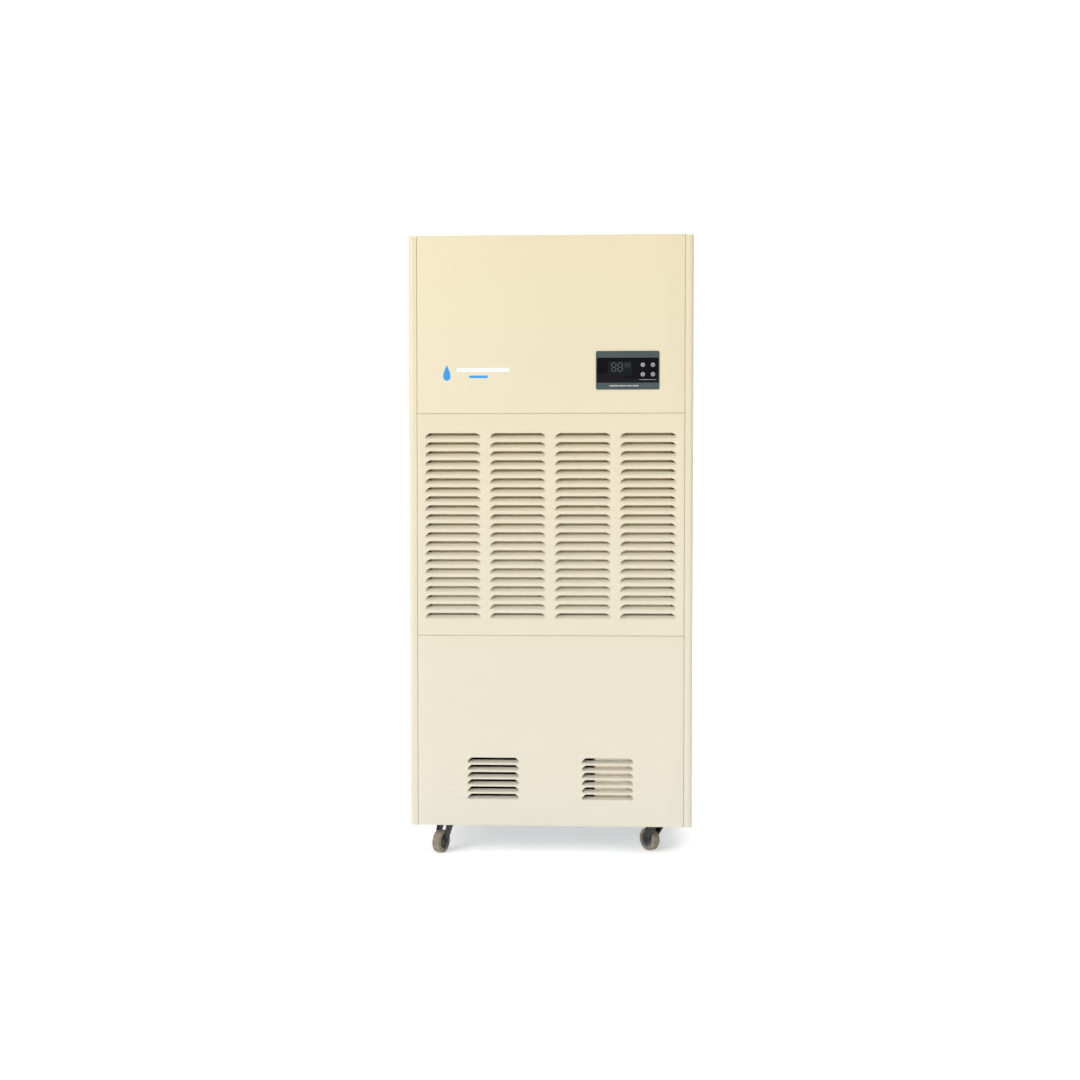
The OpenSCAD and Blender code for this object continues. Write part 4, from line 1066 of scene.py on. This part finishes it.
class DEHUMIDIFIER_OT_display(Build, bpy.types.Operator):
    """Builds the display with its frame, glass, unlit screen and printed marks"""

    bl_idname = "dehumidifier.display"
    bl_label = "Display"

    def build(self, context):
        s = context.scene.dehumidifier_display
        lo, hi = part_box("display_bezel")
        middle = (lo + hi) / 2
        glass_lo, glass_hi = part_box("display_window")
        face = glass_lo.y
        spots, reach = [], 0
        for key in KEYS:
            key_lo, key_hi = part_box("button_" + key)
            spots.append(((key_lo.x + key_hi.x) / 2, (key_lo.z + key_hi.z) / 2))
            reach = (key_hi.x - key_lo.x) / 2 + s.key_gap
        panel_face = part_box("front_top_panel")[0].y
        lip, bevel, hole_depth = 5.5 * MM, 0.9 * MM, 19 * MM
        plate = add_box("plate", lo, (hi.x, panel_face, hi.z))
        pick(plate, "EDGE", lambda a, b: abs(a.y - b.y) > TINY)
        bpy.ops.mesh.bevel(offset=FRAME_CORNER, segments=6)
        object_mode()
        pick(plate, "FACE", lambda at, n: n.y < -0.99)
        bpy.ops.mesh.inset(thickness=bevel)
        object_mode()
        for v in plate.data.vertices:
            on_rim = min(v.co.x - lo.x, hi.x - v.co.x, v.co.z - lo.z, hi.z - v.co.z) < EDGE_SLACK
            corner = Vector((abs(v.co.x - middle.x), 0, abs(v.co.z - middle.z)))
            if v.co.y < panel_face - TINY and (on_rim or self.outside(corner, hi - middle)):
                v.co.y += bevel
        housing = add_box("housing", (lo.x + lip, panel_face, lo.z + lip), (hi.x - lip, hi.y, hi.z - lip))
        shell = join("display_frame", [plate, housing])
        recess = add_box("recess", (glass_lo.x, face - MM, glass_lo.z), (glass_hi.x, glass_hi.y, glass_hi.z))
        modify(shell, "BOOLEAN", object=recess, operation="DIFFERENCE", solver="EXACT")
        bpy.data.objects.remove(recess)
        cut_holes(shell, spots, reach, face - MM, hi.y - hole_depth)
        smooth(shell, 30)
        finish(shell, "grey_plastic", "cabinet", "display_bezel")

        gap = 0.1 * MM
        glass = add_box(
            "display_glass",
            (glass_lo.x + gap, face, glass_lo.z + gap),
            (glass_hi.x - gap, glass_hi.y - gap / 2, glass_hi.z - gap),
        )
        round_edges(glass, 0.3 * MM, 2)
        cut_holes(glass, spots, reach, face - MM, glass_hi.y + MM)
        smooth(glass, 30)
        finish(glass, "black_gloss", "cabinet", "display_window")

        screen_lo, screen_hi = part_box("lcd_screen")
        centre = (screen_lo + screen_hi) / 2
        width, height = screen_hi.x - screen_lo.x, screen_hi.z - screen_lo.z
        pane_back, print_y, corner = face + 0.2 * MM, face - 0.05 * MM, 2 * MM
        pane = flat_bar("screen_pane", centre.x, centre.z, width, height, pane_back, print_y, corner)
        finish(pane, "dark_screen", "cabinet", "lcd_screen")
        segments = join("screen_segments", self.digits(centre, print_y))
        finish(segments, "screen_segment", "cabinet", slot="dark_screen")

        dash_z = lo.z + 9.5 * MM
        marks = [
            flat_bar("dash", middle.x + (x - 9) * MM, dash_z, w * MM, 3 * MM, lo.y + MM, lo.y - gap)
            for x, w in ((-27, 24), (-4, 19), (14, 13), (30, 16))
        ]
        keys_x = sum(x for x, _ in spots) / len(spots)
        keys_low = min(z for _, z in spots)
        marks.append(
            flat_bar("rule", keys_x, keys_low - 14 * MM, 44 * MM, 0.8 * MM, face + MM, face - gap)
        )
        prints = join("display_marks", marks)
        finish(prints, "pale_print", "cabinet", slot="grey_plastic")

    @staticmethod
    def outside(corner, half):
        """Tells whether a point lies on the rounded outer corner of the frame."""
        dx, dz = corner.x - (half.x - FRAME_CORNER), corner.z - (half.z - FRAME_CORNER)
        return dx > 0 and dz > 0 and hypot(dx, dz) > FRAME_CORNER - EDGE_SLACK

    @staticmethod
    def digits(centre, front):
        """Two large and two small unlit seven-segment figures."""
        bars = []
        for x, z, tall in ((-17, 3, 22), (0, 3, 22), (15, 8, 10), (23, 8, 10)):
            wide, thick = tall * 0.5, tall * 0.1
            for dx, dz, upright in (
                (0, 0.5, False),
                (0, 0, False),
                (0, -0.5, False),
                (-0.5, 0.25, True),
                (0.5, 0.25, True),
                (-0.5, -0.25, True),
                (0.5, -0.25, True),
            ):
                long = (tall / 2 if upright else wide) - thick * 1.2
                w, h = (thick, long) if upright else (long, thick)
                bars.append(
                    flat_bar(
                        "segment",
                        centre.x + (x + dx * wide) * MM,
                        centre.z + (z + dz * tall) * MM,
                        w * MM,
                        h * MM,
                        front + 0.1 * MM,
                        front - 0.05 * MM,
                        thick * 0.35 * MM,
                    )
                )
        return bars


class DEHUMIDIFIER_OT_keys(Build, bpy.types.Operator):
    """Builds the four domed buttons with their plain symbols"""

    bl_idname = "dehumidifier.keys"
    bl_label = "Buttons"

    def build(self, context):
        sunk, dish, dome = 0.15 * MM, 0.35 * MM, 1.2 * MM
        for key in KEYS:
            lo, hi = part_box("button_" + key)
            radius = (hi.x - lo.x) / 2
            top = lo.y + sunk
            piece = add_disc("key_" + key, radius, top, hi.y, 48, "Y")
            pick(piece, "FACE", lambda at, n: n.y < -0.99)
            for share, rise in ((0.12, 0.0), (0.25, 0.12), (0.5, 0.28)):
                bpy.ops.mesh.inset(thickness=radius * share * 0.7)
                for v in picked(piece):
                    v.co.y = top + dish - rise * dome
                bpy.ops.object.mode_set(mode="EDIT")
            object_mode()
            middle = Vector(((lo.x + hi.x) / 2, 0, (lo.z + hi.z) / 2))
            place(piece, Matrix.Translation(middle))
            smooth(piece, 50)
            finish(piece, "button_plastic", key + "_key", "button_" + key)
            symbol = place(self.symbol(key, lo.y), Matrix.Translation(middle))
            finish(symbol, "grey_plastic", key + "_key")

    @staticmethod
    def symbol(key, front):
        """A button's plain mark: an upright bar, three rows or an arrow head."""
        back = front + 0.5 * MM
        name = "mark_" + key
        if key == "menu":
            rows = [flat_bar("row", 0, z * MM, 4 * MM, 0.6 * MM, back, front) for z in (-1.4, 0, 1.4)]
            return join(name, rows)
        if key == "power":
            return flat_bar(name, 0, 0, 0.9 * MM, 4.4 * MM, back, front, 0.3 * MM)
        turn = 0 if key == "up" else pi
        mark = add_disc(name, 2.2 * MM, front, back, 3, "Y")
        face_outwards(mark)
        top = max(mark.data.vertices, key=lambda v: v.co.z).co
        lean = 0 if abs(top.x) < TINY else pi / 6
        return place(mark, Matrix.Rotation(turn + lean, 4, "Y"))


class DEHUMIDIFIER_OT_decal(Build, bpy.types.Operator):
    """Builds the plain water-drop decal on the upper panel"""

    bl_idname = "dehumidifier.decal"
    bl_label = "Decal"

    def build(self, context):
        s = context.scene.dehumidifier_display
        lo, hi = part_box("front_top_panel")
        face = lo.y
        front, back = face - 0.12 * MM, face + 0.2 * MM
        x, z = s.decal_x, s.decal_z
        count, drop_half, drop_rise = 40, 14 * MM, 21 * MM
        turns = [2 * pi * i / count for i in range(count)]
        outline = [(x + drop_half * sin(a) * sin(a / 2) ** 1.5, z + drop_rise * cos(a)) for a in turns]
        drop = slab("decal_drop", outline, back, front)
        under = flat_bar("under", x + 84 * MM, z - 11 * MM, 50 * MM, 7 * MM, back, front, 3 * MM)
        blue = join("decal_drop", [drop, under])
        finish(blue, "decal_blue", "cabinet", slot="powder_coat")
        line = flat_bar("decal_line", x + 96 * MM, z + 7 * MM, 140 * MM, 9 * MM, back, front, 4 * MM)
        finish(line, "decal_white", "cabinet", slot="powder_coat")


class DEHUMIDIFIER_OT_casters(Build, bpy.types.Operator):
    """Builds one swivel caster and copies it to the four corners"""

    bl_idname = "dehumidifier.casters"
    bl_label = "Casters"

    def build(self, context):
        s = context.scene.dehumidifier_casters
        joints = {row["name"]: row for row in frame["record"]["behaviour"]["joints"]}
        first = CORNERS[0]
        swivel = Vector(joints[first + "_swivel_turn"]["pos_m"])
        axle = Vector(joints[first + "_wheel_spin"]["pos_m"])
        trail = (axle.xy - swivel.xy).length
        _, fork_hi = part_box(first + "_fork")
        radius = axle.z
        rubber = tyre("tyre", radius, s.tyre_width, s.tyre_wall, 3 * MM)
        centre = wheel_hub("hub", radius - s.tyre_wall, s.hub_width, 9 * MM, s.axle / 2 + 0.1 * MM)
        for piece in (rubber, centre):
            place(piece, Matrix.Translation((trail, 0, radius)))
        inner = s.hub_width / 2 + MM
        fork = swivel_fork(
            "fork", trail, radius, s.race, fork_hi.z - s.race_height, fork_hi.z, inner, s.fork_sheet, s.axle
        )
        for corner in CORNERS:
            swivel = Vector(joints[corner + "_swivel_turn"]["pos_m"])
            axle = Vector(joints[corner + "_wheel_spin"]["pos_m"])
            turn = (axle.xy - swivel.xy).angle_signed(Vector((1, 0)))
            spot = Matrix.Translation((swivel.x, swivel.y, 0)) @ Matrix.Rotation(turn, 4, "Z")
            for piece, kind, body, coat in (
                (rubber, "tyre", "wheel", "pale_tyre"),
                (centre, "hub", "wheel", "hub_plastic"),
                (fork, "fork", "swivel", "fork_steel"),
            ):
                copy = duplicate(piece, corner + "_" + kind + "_shape", spot)
                finish(copy, coat, corner + "_" + body, corner + "_" + kind)
        for piece in (rubber, centre, fork):
            bpy.data.objects.remove(piece)


class DEHUMIDIFIER_OT_screws(Build, bpy.types.Operator):
    """Builds one panel screw and copies it along the side and rear panels"""

    bl_idname = "dehumidifier.screws"
    bl_label = "Panel Screws"

    def build(self, context):
        s = context.scene.dehumidifier
        screw = pan_screw("screw", s.screw_head / 2, s.screw_height, 2.6 * MM)
        copies = []
        for cad_node, count in (
            ("left_side_panel", 5),
            ("right_side_panel", 5),
            ("rear_upper_panel", 3),
            ("rear_lower_panel", 3),
        ):
            lo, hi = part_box(cad_node)
            low, high = lo.z + s.screw_end, hi.z - s.screw_end
            if cad_node == "rear_upper_panel":
                low -= seam_width() / 2
            if cad_node == "rear_lower_panel":
                high += seam_width() / 2
            for i in range(count):
                z = low + (high - low) * i / (count - 1)
                for end in (0, 1):
                    if cad_node.startswith("rear"):
                        at = (lo.x + s.screw_inset if end else hi.x - s.screw_inset, hi.y, z)
                        turn = Matrix.Rotation(-pi / 2, 4, "X")
                    else:
                        side = 1 if cad_node.startswith("right") else -1
                        y = lo.y + s.screw_inset if end else hi.y - s.screw_inset
                        at = (hi.x if side > 0 else lo.x, y, z)
                        turn = Matrix.Rotation(side * pi / 2, 4, "Y")
                    twist = Matrix.Rotation(0.7 * len(copies), 4, "Z")
                    copies.append(duplicate(screw, "screw", Matrix.Translation(at) @ turn @ twist))
        bpy.data.objects.remove(screw)
        heads = join("panel_screw_heads", copies)
        finish(heads, "galvanised_steel", "cabinet", "panel_screws")


class DEHUMIDIFIER_OT_cad_finishes(Build, bpy.types.Operator):
    """Gives every CAD part that stays in view its finish"""

    bl_idname = "dehumidifier.cad_finishes"
    bl_label = "CAD Finishes"

    def build(self, context):
        paint_cad_nodes()


class DEHUMIDIFIER_OT_stage(Build, bpy.types.Operator):
    """Sets the floor, the lights and the camera"""

    bl_idname = "dehumidifier.stage"
    bl_label = "Stage"

    def build(self, context):
        select_none()
        bpy.ops.mesh.primitive_plane_add(size=60, location=(0, 0, 0))
        floor = start("studio_floor")
        floor.data.materials.append(Finishes.get("floor"))
        self.light("key", (-2.6, -2.9, 2.9), (0, 0, 0.8), power=1.6, spread=30)
        self.light("sky", (0, 0.4, 4), (0, 0, 0), power=1.4, spread=90)
        self.light("side", (-2.9, -2.2, 1.9), (0, 0, 1.1), power=7, size=1.6)
        self.air(context, strength=0.62, seen=1.2)
        context.scene.view_settings.view_transform = "Standard"
        camera = bpy.data.cameras.new("studio_camera")
        camera.lens = 44.9
        camera.sensor_width = 36
        camera.dof.use_dof = False
        eye = bpy.data.objects.new("studio_camera", camera)
        eye.location = (0.1133, -3.8, 0.961)
        aim = Vector((-0.0279, -0.23, 0.8449)) - eye.location
        eye.rotation_euler = aim.to_track_quat("-Z", "Y").to_euler()
        context.scene.collection.objects.link(eye)
        context.scene.camera = eye

    @staticmethod
    def air(context, strength, seen):
        """Fills the air with soft light, and shows it white behind the object."""
        world = bpy.data.worlds.new("studio_air")
        context.scene.world = world
        world.use_nodes = True
        tree = world.node_tree
        background = tree.nodes["Background"]
        background.inputs["Color"].default_value = (1, 1, 1, 1)
        path = tree.nodes.new("ShaderNodeLightPath")
        level = tree.nodes.new("ShaderNodeMapRange")
        level.inputs["To Min"].default_value = strength
        level.inputs["To Max"].default_value = seen
        tree.links.new(path.outputs["Is Camera Ray"], level.inputs["Value"])
        tree.links.new(level.outputs["Result"], background.inputs["Strength"])

    @staticmethod
    def light(name, at, aim, power, size=None, spread=0.0):
        """Adds an area light of a size, or a sun with a spread when it has none."""
        lamp = bpy.data.lights.new(name, "AREA" if size else "SUN")
        if size:
            lamp.size = size
        else:
            lamp.angle = radians(spread)
        lamp.energy = power
        holder = bpy.data.objects.new(name, lamp)
        holder.location = at
        holder.rotation_euler = (Vector(aim) - Vector(at)).to_track_quat("-Z", "Y").to_euler()
        bpy.context.scene.collection.objects.link(holder)


class DEHUMIDIFIER_PT_builder(bpy.types.Panel):
    """Lists the pieces in the order they are built"""

    bl_label = "Dehumidifier"
    bl_idname = "DEHUMIDIFIER_PT_builder"
    bl_space_type = "VIEW_3D"
    bl_region_type = "UI"
    bl_category = "Dehumidifier"

    def draw(self, context):
        layout = self.layout
        for group in (getattr(context.scene, name) for name in SETTINGS):
            box = layout.box()
            for key in group.bl_rna.properties.keys():
                if key not in ("rna_type", "name"):
                    box.prop(group, key)
        for builder in BUILDERS:
            layout.operator(builder.bl_idname)


SETTINGS = {
    "dehumidifier": DehumidifierSettings,
    "dehumidifier_louvres": LouvreSettings,
    "dehumidifier_vents": VentSettings,
    "dehumidifier_display": DisplaySettings,
    "dehumidifier_casters": CasterSettings,
}
BUILDERS = (
    DEHUMIDIFIER_OT_stage,
    DEHUMIDIFIER_OT_intake_panel,
    DEHUMIDIFIER_OT_lower_panel,
    DEHUMIDIFIER_OT_plain_panels,
    DEHUMIDIFIER_OT_seals,
    DEHUMIDIFIER_OT_display,
    DEHUMIDIFIER_OT_keys,
    DEHUMIDIFIER_OT_decal,
    DEHUMIDIFIER_OT_casters,
    DEHUMIDIFIER_OT_screws,
    DEHUMIDIFIER_OT_cad_finishes,
)


def register():
    for name, group in SETTINGS.items():
        bpy.utils.register_class(group)
        setattr(bpy.types.Scene, name, PointerProperty(type=group))
    for cls in (*BUILDERS, DEHUMIDIFIER_PT_builder):
        bpy.utils.register_class(cls)


def unregister():
    for cls in (DEHUMIDIFIER_PT_builder, *reversed(BUILDERS)):
        bpy.utils.unregister_class(cls)
    for name, group in reversed(SETTINGS.items()):
        delattr(bpy.types.Scene, name)
        bpy.utils.unregister_class(group)


def main():
    register()
    for builder in BUILDERS:
        group, name = builder.bl_idname.split(".")
        getattr(getattr(bpy.ops, group), name)()


if __name__ == "__main__":
    main()
